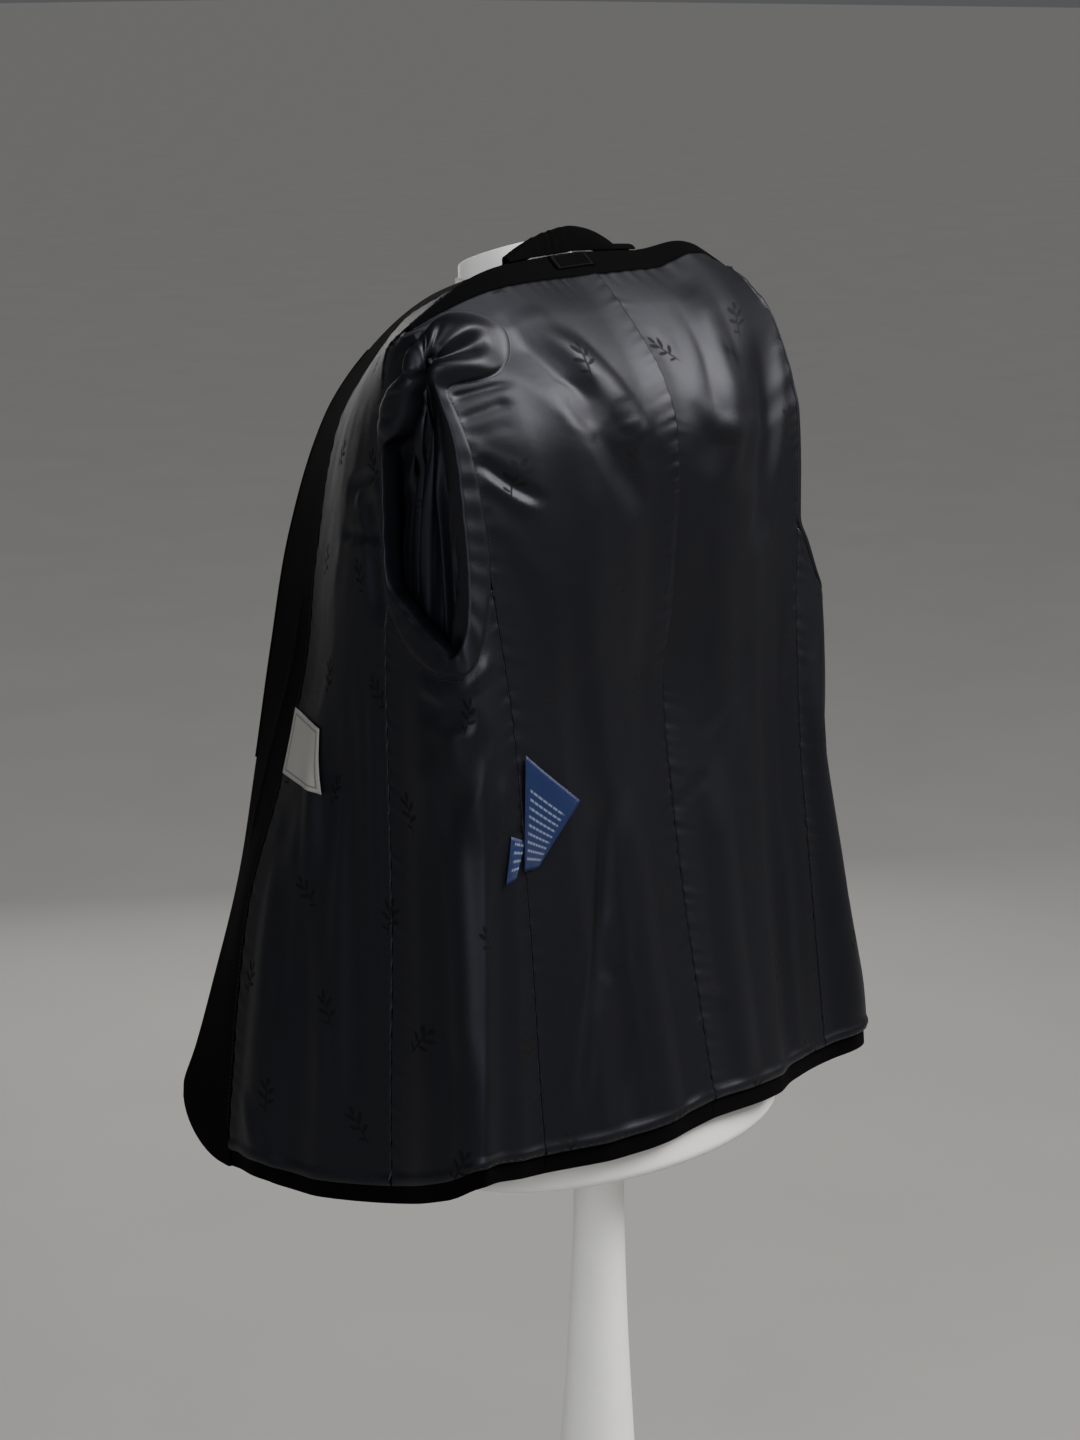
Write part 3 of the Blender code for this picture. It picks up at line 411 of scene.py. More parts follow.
CREST_LEVEL, CREST_Y = 0.72, -0.031
CREST_LINE = ((0.0, 0.742), (0.080, 0.738), (0.120, 0.731), (0.155, 0.718), (0.198, 0.697))
# The far side hangs fuller than the near one, and its shoulder rides up.
RIGHT_FULLNESS = (
    (-0.06, 0.028), (0.10, 0.022), (0.30, 0.014), (0.45, 0.018), (0.60, 0.030), (0.66, 0.022),
    (0.72, 0.0),
)
FULLNESS_AT, FULLNESS_SPREAD, FULLNESS_TOWARDS = 0.235, 0.110, (-0.66, 0.75)
SHOULDER_RISE, RISE_STARTS, RISE_IS_FULL = 0.020, (0.075, 0.56), (0.160, 0.68)
# Level above the rim against reach, which is measured up the cloth over the shoulder.
REACHES = ((-0.06, -0.06), (0.60, 0.60), (0.65, 0.653), (0.69, 0.712), (0.72, 0.778))
# Cut edges, as (distance from the centre back, level).
HEM_LINE = (
    (0.0, 0.035), (0.095, 0.030), (0.180, 0.028), (0.242, 0.030), (0.280, 0.010),
    (0.335, -0.014), (0.430, -0.030), (0.500, -0.032), (0.530, -0.035),
)
FRONT_CORNER_RADIUS = 0.068
HEM_BAND = 0.016
ARMHOLE_LINE = (
    (0.0, 0.490), (0.180, 0.500), (0.215, 0.452), (0.255, 0.436), (0.300, 0.446),
    (0.335, 0.478), (0.610, 0.500),
)
NECK_LINE = (
    (0.0, 0.709), (0.095, 0.710), (0.140, 0.712), (0.180, 0.715), (0.335, 0.713), (0.610, 0.713),
)
FACING_SEAM = ((0.62, 0.530), (0.66, 0.518), (0.69, 0.492), (0.72, 0.462))
BACK_SEAM, FRONT_SEAM, FACING, FRONT_EDGE = 0.180, 0.335, 0.530, 0.610

# Big folds that the whole garment hangs in, in millimetres: reach and distance from the
# centre back of one end, then of the other, half width and height. A trough is negative.
# Minus is the right.
FOLDS = (
    (712, 130, 560, 50, 26, -6), (697, 90, 600, 30, 22, 4),
    (420, 110, 40, 100, 26, -6), (300, 60, 40, 55, 22, 4),
    (300, 215, 20, 222, 22, -6), (400, 290, -10, 300, 26, 5),
    (560, 370, 470, 345, 24, -4), (350, 420, -30, 440, 30, -6),
    (250, 480, -40, 495, 26, 5),
    (712, -100, 560, -70, 26, 5), (642, -150, 500, -120, 24, -5),
    (380, -140, 40, -120, 26, -6), (300, -50, 60, -45, 24, 4),
    (360, -205, 30, -212, 22, 5), (380, -300, 0, -310, 26, -5),
    (520, -380, 300, -400, 26, 5), (330, -450, -30, -455, 30, -6),
)

SECTION_LEVELS = [row[0] / 1000 for row in SECTIONS]
SECTION_POINTS = np.array(
    [[p if len(p) == 3 else (*p, row[0]) for p in row[1:]] for row in SECTIONS], float
) / 1000


def ramp(value, start, full):
    """0 up to the start, 1 from full on, and smooth between."""
    t = np.clip((np.asarray(value, float) - start) / (full - start), 0, 1)
    return t * t * (3 - 2 * t)


def reach_of(level):
    return np.interp(level, *zip(*REACHES))


def level_of(reach):
    return np.interp(reach, *list(zip(*REACHES))[::-1])


def bare_surface(across, reach):
    """Points of the garment's surface, before its folds."""
    shape = np.shape(across)
    across, reach = np.ravel(across), np.ravel(reach)
    level = level_of(reach)
    girth = np.abs(across)
    side = curve_weights(GIRTHS, girth)

    def read(at):
        return np.einsum("nr,nc,rcx->nx", curve_weights(SECTION_LEVELS, at), side, SECTION_POINTS)

    points = read(level)
    near = ramp(level, 0.690, CREST_LEVEL)
    crest = read(np.full_like(level, CREST_LEVEL))
    points[:, 1] += (CREST_Y - crest[:, 1]) * near
    points[:, 2] += (on_curve(CREST_LINE, crest[:, 0]) - crest[:, 2]) * near
    right = (across < 0).astype(float)
    push = np.interp(level, *zip(*RIGHT_FULLNESS)) * right
    push = push * np.clip(1 - ((girth - FULLNESS_AT) / FULLNESS_SPREAD) ** 2, 0, 1) ** 2
    points[:, 0] = points[:, 0] * (1 - 2 * right) + push * FULLNESS_TOWARDS[0]
    points[:, 1] += push * FULLNESS_TOWARDS[1]
    out = ramp(np.abs(points[:, 0]), RISE_STARTS[0], RISE_IS_FULL[0])
    high = ramp(points[:, 2], RISE_STARTS[1], RISE_IS_FULL[1])
    points[:, 2] += SHOULDER_RISE * out * high * right + RIM_HEIGHT
    return points.reshape(*shape, 3)


def unit(vectors):
    return vectors / np.maximum(np.linalg.norm(vectors, axis=-1, keepdims=True), 1e-12)


def surface(across, reach):
    """Points of the surface and the directions square to it, outwards."""
    run = 0.003
    top = REACHES[-1][1]
    along = bare_surface(across + run, reach) - bare_surface(across - run, reach)
    above = bare_surface(across, np.minimum(reach + run, top))
    up = above - bare_surface(across, np.minimum(reach, top) - run)
    return bare_surface(across, reach), unit(np.cross(up, along))


def big_folds(across, reach):
    total = np.zeros_like(across)
    for reach_0, across_0, reach_1, across_1, half_width, height in np.array(FOLDS) / 1000:
        along = (reach - reach_0) / (reach_1 - reach_0)
        middle = across_0 + (across_1 - across_0) * along
        profile = np.clip(1 - ((across - middle) / half_width) ** 2, 0, 1) ** 2
        total += height * profile * ramp(along, -0.15, 0.15) * ramp(along, 1.15, 0.85)
    return total


# Creases mapped from the photo, then like ones where nothing shows. Each is a run
# of (across, reach) places, with its half width and its height, all in millimetres; a
# trough is negative.
CREASES = (
    # the two drapes that run down from the neck to the back of the left armhole: a sharp
    # line each, broad slack beside it, and a rounded lower end
    (((122, 738), (114, 694), (102, 665), (77, 636)), 6, -1.2),
    (((130, 728), (118, 690), (108, 662), (100, 638), (94, 622)), 16.5, 1.7),
    (((104, 735), (96, 700), (86, 668), (68, 644)), 15, 1.1),
    (((146, 712), (130, 668), (122, 630), (120, 588), (120, 530)), 16.5, -1.3),
    (((150, 640), (146, 590), (142, 530), (136, 470)), 19.5, 1.1),
    (((77, 636), (76, 617), (64, 603), (46, 600), (32, 611), (18, 634)), 10.5, 0.9),
    (((110, 642), (104, 623), (92, 615), (80, 624)), 9, 0.7),
    (((52, 640), (50, 618)), 19.5, -0.8),
    (((96, 590), (94, 520), (98, 450), (104, 390)), 18, 1),
    (((116, 500), (112, 430), (108, 370)), 16.5, -1),
    (((50, 560), (46, 480), (44, 400)), 22.5, 1),
    (((30, 520), (28, 420), (40, 330)), 18, -0.9),
    # the right shoulder blade's round highlight and what lies round it
    (((-72, 716), (-58, 671), (-44, 630), (-58, 604), (-90, 596), (-128, 592), (-170, 590)),
     16.5, 1.2),
    (((-30, 600), (-80, 568), (-150, 556)), 27, -1.6),
    (((-110, 700), (-104, 660), (-100, 630)), 30, -0.8),
    (((-20, 700), (-24, 650), (-20, 600)), 15, -0.7),
    (((-60, 540), (-66, 450), (-60, 360)), 21, 1.1),
    (((-95, 530), (-98, 440), (-92, 330)), 19.5, -1.1),
    # fold that opens towards the hem
    (((82, 350), (94, 272), (102, 232), (112, 200), (126, 150), (138, 92), (142, 50)), 11.25, -3),
    (((100, 345), (112, 270), (124, 205), (146, 140), (158, 80), (160, 44)), 16.5, 2.5),
    (((64, 330), (76, 268), (86, 205), (104, 145), (116, 90), (118, 44)), 18, 2.1),
    (((92, 270), (100, 184), (92, 172), (90, 118), (102, 48)), 13.5, -1.5),
    # right side back
    (((-150, 478), (-157, 396), (-158, 338), (-155, 270), (-158, 198), (-152, 60)), 13.5, -1.8),
    (((-135, 455), (-140, 396), (-139, 270), (-142, 150), (-134, 60)), 16.5, 1.5),
    # cross creases from the waist down, where it had lain folded
    (((-124, 398), (-75, 372), (-26, 342)), 12, -0.4),
    (((-46, 318), (-15, 300), (14, 288)), 10.5, -0.4),
    (((-158, 262), (-110, 246), (-66, 234)), 12, -0.4),
    (((0, 210), (40, 178), (72, 156)), 12, -0.4),
    (((-14, 116), (30, 116), (72, 112)), 12, 0.4),
    (((22, 150), (-10, 138), (-42, 126)), 12, 0.4),
    # short creases that draw in to the left armhole, before it, behind it and below its point
    (((334, 592), (360, 578), (392, 572), (430, 562)), 9, -2.5),
    (((338, 574), (370, 564), (405, 552)), 10.5, 2),
    (((336, 530), (388, 528), (440, 524)), 8.25, -2.25),
    (((178, 602), (166, 596), (152, 580), (130, 561)), 8.25, -2.6),
    (((176, 590), (158, 574), (138, 556)), 9, 1.8),
    (((178, 632), (160, 638), (136, 646)), 6, -2.3),
    (((177, 650), (154, 656), (132, 663)), 6, -2.1),
    (((300, 422), (272, 418), (238, 430), (186, 449)), 12, 2.7),
    (((294, 406), (262, 399), (226, 408)), 15, -3.2),
    (((276, 416), (266, 385), (258, 340)), 18, 2.5),
    # left side
    (((266, 312), (264, 234), (260, 104)), 18, 2.5),
    (((242, 330), (240, 234), (236, 110)), 16.5, -1.7),
    (((290, 330), (288, 234), (286, 90)), 18, -2),
    (((230, 425), (262, 372), (300, 330)), 18, 2.4),
    (((215, 400), (245, 352), (285, 300)), 15, -1.8),
    (((196, 360), (215, 300), (222, 240)), 15, 1.7),
    # drag lines from the left front and behind the armhole
    (((434, 554), (390, 566), (340, 576)), 12, -1.2),
    (((456, 506), (400, 520), (338, 526)), 13.5, 1.2),
    (((176, 651), (155, 660), (134, 665)), 7.5, -0.65),
    (((178, 634), (160, 640), (142, 642)), 9, 0.5),
    (((180, 618), (160, 622), (140, 628)), 6.75, -0.6),
    (((180, 600), (160, 584), (142, 566)), 6, -0.9),
    (((180, 612), (160, 598), (140, 584)), 12, 0.8),
    (((176, 560), (158, 540), (140, 500)), 13.5, 0.9),
    # left front, and the turned-up corner
    (((514, 44), (482, 0), (452, -20)), 15, 1.7),
    (((500, 300), (470, 200), (462, 90)), 21, -2.1),
    (((470, 360), (440, 260), (420, 150), (410, 30)), 19.5, 2.3),
    (((400, 420), (385, 300), (376, 160), (370, 20)), 18, -2),
    (((360, 440), (352, 330), (350, 200), (345, 70)), 13.5, 1.5),
    # right front and side, out of the photo's sight
    (((-250, 420), (-262, 300), (-258, 120)), 19.5, 2.2),
    (((-228, 360), (-238, 250), (-232, 80)), 16.5, -1.7),
    (((-330, 560), (-385, 530), (-440, 520)), 15, -1.3),
    (((-345, 500), (-400, 486), (-462, 470)), 15, 1.4),
    (((-380, 400), (-372, 270), (-366, 110), (-370, 10)), 18, -2.1),
    (((-420, 440), (-415, 280), (-405, 100)), 19.5, 2.4),
    (((-470, 330), (-482, 200), (-478, 60)), 21, -2),
    (((-512, 60), (-478, 12), (-446, -12)), 16.5, 1.6),
    (((-205, 620), (-165, 606), (-130, 590)), 10.5, -1),
)


def nearest_on(run, across, reach):
    """Distance to a run of places, and how far along it the nearest place lies, 0 to 1."""
    run = np.asarray(run, float)
    lengths = np.linalg.norm(np.diff(run, axis=0), axis=1)
    starts = np.concatenate([[0], np.cumsum(lengths)])
    best = np.full(across.shape, 9.0)
    along = np.zeros(across.shape)
    for (a, b), (c, d), start, length in zip(run, run[1:], starts, lengths):
        t = np.clip(((across - a) * (c - a) + (reach - b) * (d - b)) / length**2, 0, 1)
        gap = np.hypot(across - a - t * (c - a), reach - b - t * (d - b))
        along = np.where(gap < best, (start + t * length) / starts[-1], along)
        best = np.minimum(gap, best)
    return best, along


def drape(across, reach):
    """Height of the big folds and the creases above the bare surface."""
    total = big_folds(across, reach)
    for run, half_width, height in CREASES:
        gap, along = nearest_on(np.array(run) / 1000, across, reach)
        near = np.clip(1 - (gap * 1000 / half_width) ** 2, 0, 1) ** 2
        total += height / 1000 * near * ramp(along, 0.0, 0.18) * ramp(along, 1.0, 0.75)
    return total


def hem_reach(girth):
    level = on_curve(HEM_LINE, girth)
    into = np.clip((girth - (FRONT_EDGE - FRONT_CORNER_RADIUS)) / FRONT_CORNER_RADIUS, 0, 1)
    return reach_of(level + FRONT_CORNER_RADIUS * (1 - np.sqrt(1 - into**2)))


def spread(low, high, step):
    """Places from low to high, set close together next to both ends, where seams are."""
    edge = np.array([0, 0.5, 1.1, 1.9, 3.0]) * 0.0006
    count = max(int((high - low) / step), 2)
    middle = np.linspace(low + edge[-1] * 1.5, high - edge[-1] * 1.5, count)
    return np.concatenate([low + edge, middle, high - edge[::-1]])


def cut_places(side, columns, bottom, top, step):
    """(across, reach) of a cut piece: columns are girths, bottom and top are edge rules."""
    low, high = bottom(columns), top(columns)
    longest = float(np.max(high - low))
    share = spread(0.0, longest, step) / longest
    reach = low[:, None] + (high - low)[:, None] * share
    girth = np.repeat(columns[:, None], len(share), axis=1)
    seam = on_curve(FACING_SEAM, level_of(reach))
    front = (girth - FRONT_SEAM) / (FACING - FRONT_SEAM)
    over = (girth - FACING) / (FRONT_EDGE - FACING)
    moved = np.where(front > 0, FRONT_SEAM + front * (seam - FRONT_SEAM), girth)
    moved = np.where(over > 0, seam + over * (FRONT_EDGE - seam), moved)
    return moved * side, reach


def cloth_mesh(name, outer, inner, places, ring=False):
    """A thin closed sheet between an outer and an inner grid of points, with cloth UVs."""
    columns, rows = outer.shape[:2]
    index = np.arange(columns * rows).reshape(columns, rows)
    if ring:
        index = np.concatenate([index, index[:1]])
    a, b, c, d = index[:-1, :-1], index[:-1, 1:], index[1:, 1:], index[1:, :-1]
    face = np.stack([a, b, c, d], axis=-1).reshape(-1, 4)
    count = columns * rows
    back = face[:, ::-1] + count
    rims = [(index[:-1, -1], index[1:, -1]), (index[1:, 0], index[:-1, 0])]
    if not ring:
        rims += [(index[0, :-1], index[0, 1:]), (index[-1, 1:], index[-1, :-1])]
    sides = [np.stack([end, start, start + count, end + count], axis=-1) for start, end in rims]
    quads = np.concatenate([face, back, *sides])
    i, j = columns // 2, rows // 2
    facing = np.cross(outer[i, j - 1] - outer[i, j], outer[i - 1, j] - outer[i, j])
    if facing @ (outer - inner)[i, j] > 0:
        quads = quads[:, ::-1]
    thing = new_mesh(name, np.concatenate([outer.reshape(-1, 3), inner.reshape(-1, 3)]), quads)
    uv = np.stack(places, axis=-1).reshape(-1, 2)
    uv = np.concatenate([uv, uv])[quads.ravel()]
    thing.data.uv_layers.new(name="cloth").data.foreach_set("uv", uv.astype(np.float32).ravel())
    return thing


def cut_cloth(name, slot, cad_node, material, across, reach, lift, wall, rests_on=()):
    """A cut piece, this far above the bare surface, whose wall runs between two heights."""
    points, out = surface(across, reach)
    points = points + out * lift[..., None]
    inner, outer = (points + out * height for height in wall)
    thing = cloth_mesh(name, outer, inner, (across, reach))
    belongs(thing, slot, cad_node, material=material)
    # the flat size and area of the cut that shows
    width = float(np.ptp(across))
    length = float(np.ptp(reach))
    area = 0.5 * np.abs(
        (across[1:, 1:] - across[:-1, :-1]) * (reach[:-1, 1:] - reach[1:, :-1])
        - (across[:-1, 1:] - across[1:, :-1]) * (reach[1:, 1:] - reach[:-1, :-1])
    ).sum()
    area = float(min(max(area, 0.31 * width * length), width * length))


def hem_rule(lift=0.0):
    return lambda girth: hem_reach(girth) + lift


def armhole_rule(girth):
    return reach_of(on_curve(ARMHOLE_LINE, girth))


def neck_rule(girth):
    return reach_of(on_curve(NECK_LINE, girth))


def crest_rule(girth):
    return np.full_like(girth, REACHES[-1][1])


wool, tree, shader = new_finish(
    "wool_finish", Roughness=0.92, Sheen_Weight=0.006, Sheen_Roughness=0.5, Specular_IOR_Level=0.05
)
uv = node(tree, "ShaderNodeUVMap", uv_map="cloth")
felt = noisy(tree, 900.0, 4.0, at=uv)
drive(shader, Base_Color=mixed(tree, felt, (0.0005, 0.0005, 0.0006), (0.0011, 0.0011, 0.0012)))
twill = node(tree, "ShaderNodeTexWave", into={"Vector": uv, "Scale": 700.0, "Distortion": 2.0})
drive(shader, Normal=bumped(tree, twill + felt * 2.0, 0.0002, 0.5))

SHELL_WALL = (-0.0040, -0.0020)
SEAM_INSET = 0.00025
for side, hand in (("left", 1), ("right", -1)):
    for piece, low, high, top in (
        ("back", 0.0, BACK_SEAM, crest_rule),
        ("side", BACK_SEAM, FRONT_SEAM, armhole_rule),
        ("front", FRONT_SEAM, FRONT_EDGE, crest_rule),
    ):
        columns = spread(low + SEAM_INSET, high - SEAM_INSET, 0.006)
        across, reach = cut_places(hand, columns, hem_rule(SEAM_INSET), top, 0.007)
        cut_cloth(
            "wool_" + piece + "_" + side, "wool", "shell_" + piece + "_" + side, wool,
            across, reach, drape(across, reach), SHELL_WALL,
            "display_form_body" if piece != "front" else (),
        )


# --- facings -------------------------------------------------------------------------------
# Wool strips, as long as the fronts, seamed to the lining and folded in along the front
# edge. The left one shows a pressed ridge beside its seam. A shorter one goes round the
# back of the neck from shoulder to shoulder.

FACING_WALL = (-0.0016, 0.0010)
RIDGE_RUN = ((0.556, 0.470), (0.559, 0.420), (0.562, 0.380), (0.576, 0.310), (0.580, 0.220))
RIDGE_HALF_WIDTH, RIDGE_HEIGHT = 0.006, 0.0014


def turned_under(columns, low, high, radius, depth):
    """How far an edge rounds down next to the seams at low and high."""
    near = np.minimum(columns - low, high - columns)
    return -depth * np.clip(1 - near / radius, 0, 1) ** 2


for side, hand in (("left", 1), ("right", -1)):
    columns = spread(FACING + SEAM_INSET, FRONT_EDGE - SEAM_INSET, 0.004)
    across, reach = cut_places(hand, columns, hem_rule(), crest_rule, 0.004)
    gap, along = nearest_on(RIDGE_RUN, np.abs(across), reach)
    ridge = RIDGE_HEIGHT * np.clip(1 - (gap / RIDGE_HALF_WIDTH) ** 2, 0, 1) ** 2
    lift = drape(across, reach) + ridge * ramp(along, 0, 0.2) * ramp(along, 1, 0.8)
    lift = lift + turned_under(columns, FACING, FRONT_EDGE, 0.0022, 0.0009)[:, None]
    name = "facing_" + side
    cut_cloth("wool_" + name, "wool", name, wool, across, reach, lift, FACING_WALL)

columns = np.linspace(-BACK_SEAM + SEAM_INSET, BACK_SEAM - SEAM_INSET, 91)
low, high = neck_rule(np.abs(columns)), crest_rule(columns)
share = np.linspace(0, 1, 18)
across = np.repeat(columns[:, None], len(share), axis=1)
reach = low[:, None] + SEAM_INSET + (high - low - 2 * SEAM_INSET)[:, None] * share
lift = drape(across, reach) - 0.0008 * np.clip(1 - share / 0.06, 0, 1) ** 2
cut_cloth("wool_neck_facing", "wool", "neck_facing", wool, across, reach, lift, FACING_WALL)


# --- satin lining --------------------------------------------------------------------------
# Back, side and front pieces in near-black satin with a small woven sprig that lies matt
# on the shiny ground. The pieces are joined in plain seams that draw the satin into short
# uneven puckers, and a pleat down the centre back is tacked below the shoulder blades.

LINING_WALL = (0.0000, 0.0010)
SPRIG_LEAVES = (  # centre across and up, turn, half length, half width, in cell sizes
    (0.00, -0.06, 1.50, 0.210, 0.014), (0.07, 0.12, 0.75, 0.090, 0.034),
    (-0.07, 0.08, 2.35, 0.085, 0.032), (0.08, -0.02, 0.45, 0.080, 0.028),
    (-0.08, -0.06, 2.65, 0.075, 0.028), (0.00, 0.19, 1.57, 0.060, 0.036),
    (0.05, -0.17, 0.35, 0.055, 0.020),
)
CELL_WIDTH, CELL_HEIGHT = 0.105, 0.090


def uneven(along, seed, shortest, longest):
    """A run of rises and dips of uneven length, spacing and depth, about -1 to 1."""
    rng = np.random.default_rng(seed)
    waves, total = 6, 0
    for _ in range(waves):
        length = rng.uniform(shortest, longest)
        total = total + rng.uniform(0.5, 1) * np.sin(2 * np.pi * (along / length + rng.uniform()))
    return total / waves**0.5


def satin_ease(across, reach):
    """Slight looseness of the satin over its whole face."""
    long_run = uneven(across + 0.25 * reach, 3, 0.030, 0.075) * uneven(reach, 4, 0.10, 0.30)
    short_run = uneven(across * 0.8 + reach * 0.35, 5, 0.014, 0.030)
    short_run = short_run * uneven(reach - 0.4 * across, 6, 0.05, 0.14)
    return 0.00018 * long_run + 0.00007 * short_run


def seam_puckers(distance, along, seed):
    """Short puckers square to a seam, which die away from it."""
    near = np.exp(-np.maximum(distance, 0) / 0.009)
    return 0.0007 * near * (uneven(along + 0.3 * distance, seed, 0.006, 0.022) * 0.7 + 0.3)


satin, tree, shader = new_finish(
    "satin_finish",
    IOR=1.34,
    Specular_IOR_Level=0.66,
    Specular_Tint=(0.84, 0.85, 1.0, 1.0),
    Anisotropic=0.30,
)
uv = node(tree, "ShaderNodeUVMap", uv_map="cloth")
split = node(tree, "ShaderNodeSeparateXYZ", uv)
across_wire, reach_wire = split, Wire(split.socket.node.outputs[1])
cell_x, cell_y = across_wire / CELL_WIDTH, reach_wire / CELL_HEIGHT
row = cell_y.whole()
cell_x = cell_x + (row * 0.5).fraction() + (row * 0.37).fraction() * 0.4
local_x = cell_x.fraction() - 0.5
local_y = cell_y.fraction() - 0.5
tilt = ((cell_x.whole() * 0.61 + row * 0.27).fraction() - 0.5) * 1.6
cosine, sine = tilt.math("COSINE"), tilt.math("SINE")
turned_x = (local_x * cosine - local_y * sine) * 1.65
turned_y = (local_x * sine + local_y * cosine) * 1.40
figure = None
for x, y, angle_of, half_length, half_width in SPRIG_LEAVES:
    dx, dy = turned_x - x, turned_y - y
    lengthwise = (dx * math.cos(angle_of) + dy * math.sin(angle_of)) / half_length
    sideways = (dy * math.cos(angle_of) - dx * math.sin(angle_of)) / half_width
    leaf = (lengthwise * lengthwise + sideways * sideways).above(1.15, 0.75)
    figure = leaf if figure is None else figure.math("MAXIMUM", leaf)
hatch = ((across_wire * 2600.0 + reach_wire * 4200.0).wave()).above(-0.3, 0.6)
figure = figure * (hatch * 0.35 + 0.65)
weave = noisy(tree, 60.0, 4.0, at=uv)
drive(shader, Base_Color=mixed(tree, figure, (0.0022, 0.0023, 0.0034), (0.0008, 0.0008, 0.0010)))
drive(shader, Roughness=weave * 0.05 + 0.44 + figure * 0.25)
thread = node(tree, "ShaderNodeTexWave", into={"Vector": uv, "Scale": 900.0, "Distortion": 1.0})
fine_height = thread * 0.15 + weave * 0.8 + noisy(tree, 240.0, 3.0, at=uv) * 0.35 + figure * 0.25
drive(shader, Normal=bumped(tree, fine_height, 0.0003, 0.35))
into = {"Base Color": (0.0012, 0.0012, 0.0014, 1), "Roughness": 0.8, "Specular IOR Level": 0.16}
matt = node(tree, "ShaderNodeBsdfPrincipled", into=into)
both = node(tree, "ShaderNodeMixShader", figure * 0.85, Wire(shader.outputs[0]), matt)
tree.links.new(both.socket, tree.nodes["Material Output"].inputs["Surface"])

STEP = 0.0028
EDGE_ROUND, EDGE_DEPTH = 0.0018, 0.0011  # how the satin rounds down at its seams
HEM_TURN, HEM_SWELL = 0.010, 0.0018  # the soft roll of satin over the hem
TOP_ROUND, TOP_DEPTH = 0.002, 0.0010
TACK_REACH, PLEAT_RUN, PLEAT_LENGTH = 0.400, 0.060, 0.300
PLEAT_OVERLAP, PLEAT_RAISED, PLEAT_LIFT, PLEAT_WIDTH = 0.006, 0.0016, 0.0045, 0.024
for side, hand in (("left", 1), ("right", -1)):
    for number, (piece, low, high, top) in enumerate((
        ("back", 0.0, BACK_SEAM, neck_rule),
        ("side", BACK_SEAM, FRONT_SEAM, armhole_rule),
        ("front", FRONT_SEAM, FACING, crest_rule),
    )):
        columns = spread(low + SEAM_INSET, high - SEAM_INSET, STEP)
        across, reach = cut_places(hand, columns, hem_rule(HEM_BAND), top, STEP)
        girth = np.repeat(columns[:, None], reach.shape[1], axis=1)
        lift = drape(across, reach) + satin_ease(across, reach)
        seed = 20 + 10 * number + (hand < 0) * 5
        lift = lift + seam_puckers(girth - low, reach, seed)
        lift = lift + seam_puckers(high - girth, reach, seed + 1)
        lift = lift + turned_under(columns, low, high, EDGE_ROUND, EDGE_DEPTH)[:, None]
        ease = np.clip((reach - reach[:, :1]) / HEM_TURN, 0, 1)
        swell = 1 - 0.3 * uneven(across, seed + 2, 0.02, 0.06)
        lift = lift + HEM_SWELL * np.sin(np.pi * ease) * swell
        below_top = reach[:, -1:] - reach
        lift = lift + seam_puckers(below_top, across, seed + 3)
        lift = lift - TOP_DEPTH * np.clip(1 - below_top / TOP_ROUND, 0, 1) ** 2
        if piece == "back" and hand > 0:
            overlap = PLEAT_OVERLAP * ramp(reach, TACK_REACH, TACK_REACH + PLEAT_RUN)
            across = across - overlap * np.clip(1 - girth / 0.03, 0, 1)
            raised = PLEAT_RAISED * ramp(reach, TACK_REACH - PLEAT_RUN, TACK_REACH)
            bellow = np.sin(np.pi * np.clip((reach - TACK_REACH) / PLEAT_LENGTH, 0, 1))
            edge = np.clip(1 - girth / PLEAT_WIDTH, 0, 1)
            lift = lift + raised * ramp(girth, 0.030, 0.0) + PLEAT_LIFT * bellow * edge**1.5
        cut_cloth(
            "satin_" + piece + "_" + side, "satin_lining", "lining_" + piece + "_" + side, satin,
            across, reach, lift, LINING_WALL, ["wool_" + piece + "_" + side],
        )


# --- sleeves ---------------------------------------------------------------------------------
# The sleeves were left inside the body, so each armhole looks into its sleeve's own satin
# lining. The lining rolls out over the armhole seam, puffs up in a big puckered roll at
# the sleeve head, and falls inside in long folds. Round it hangs the wool sleeve.

# Level, centre (x, y) and half sizes across and along of the flattened tube.
SLEEVE_SECTIONS = (
    (0.085, 0.1860, -0.105, 0.0110, 0.070), (0.150, 0.1870, -0.085, 0.0115, 0.073),
    (0.220, 0.1840, -0.062, 0.0120, 0.076), (0.290, 0.1800, -0.048, 0.0125, 0.075),
    (0.360, 0.1800, -0.038, 0.0130, 0.076),
)
UNDERARM = 0.273
HEAD_INWARD, UNDERARM_INWARD, MOUTH_INSET, STRAIGHT_IN = 0.030, 0.0184, 0.0014, 0.0066
SLEEVE_LEAD, HEAD_BEND = 0.22, 0.080
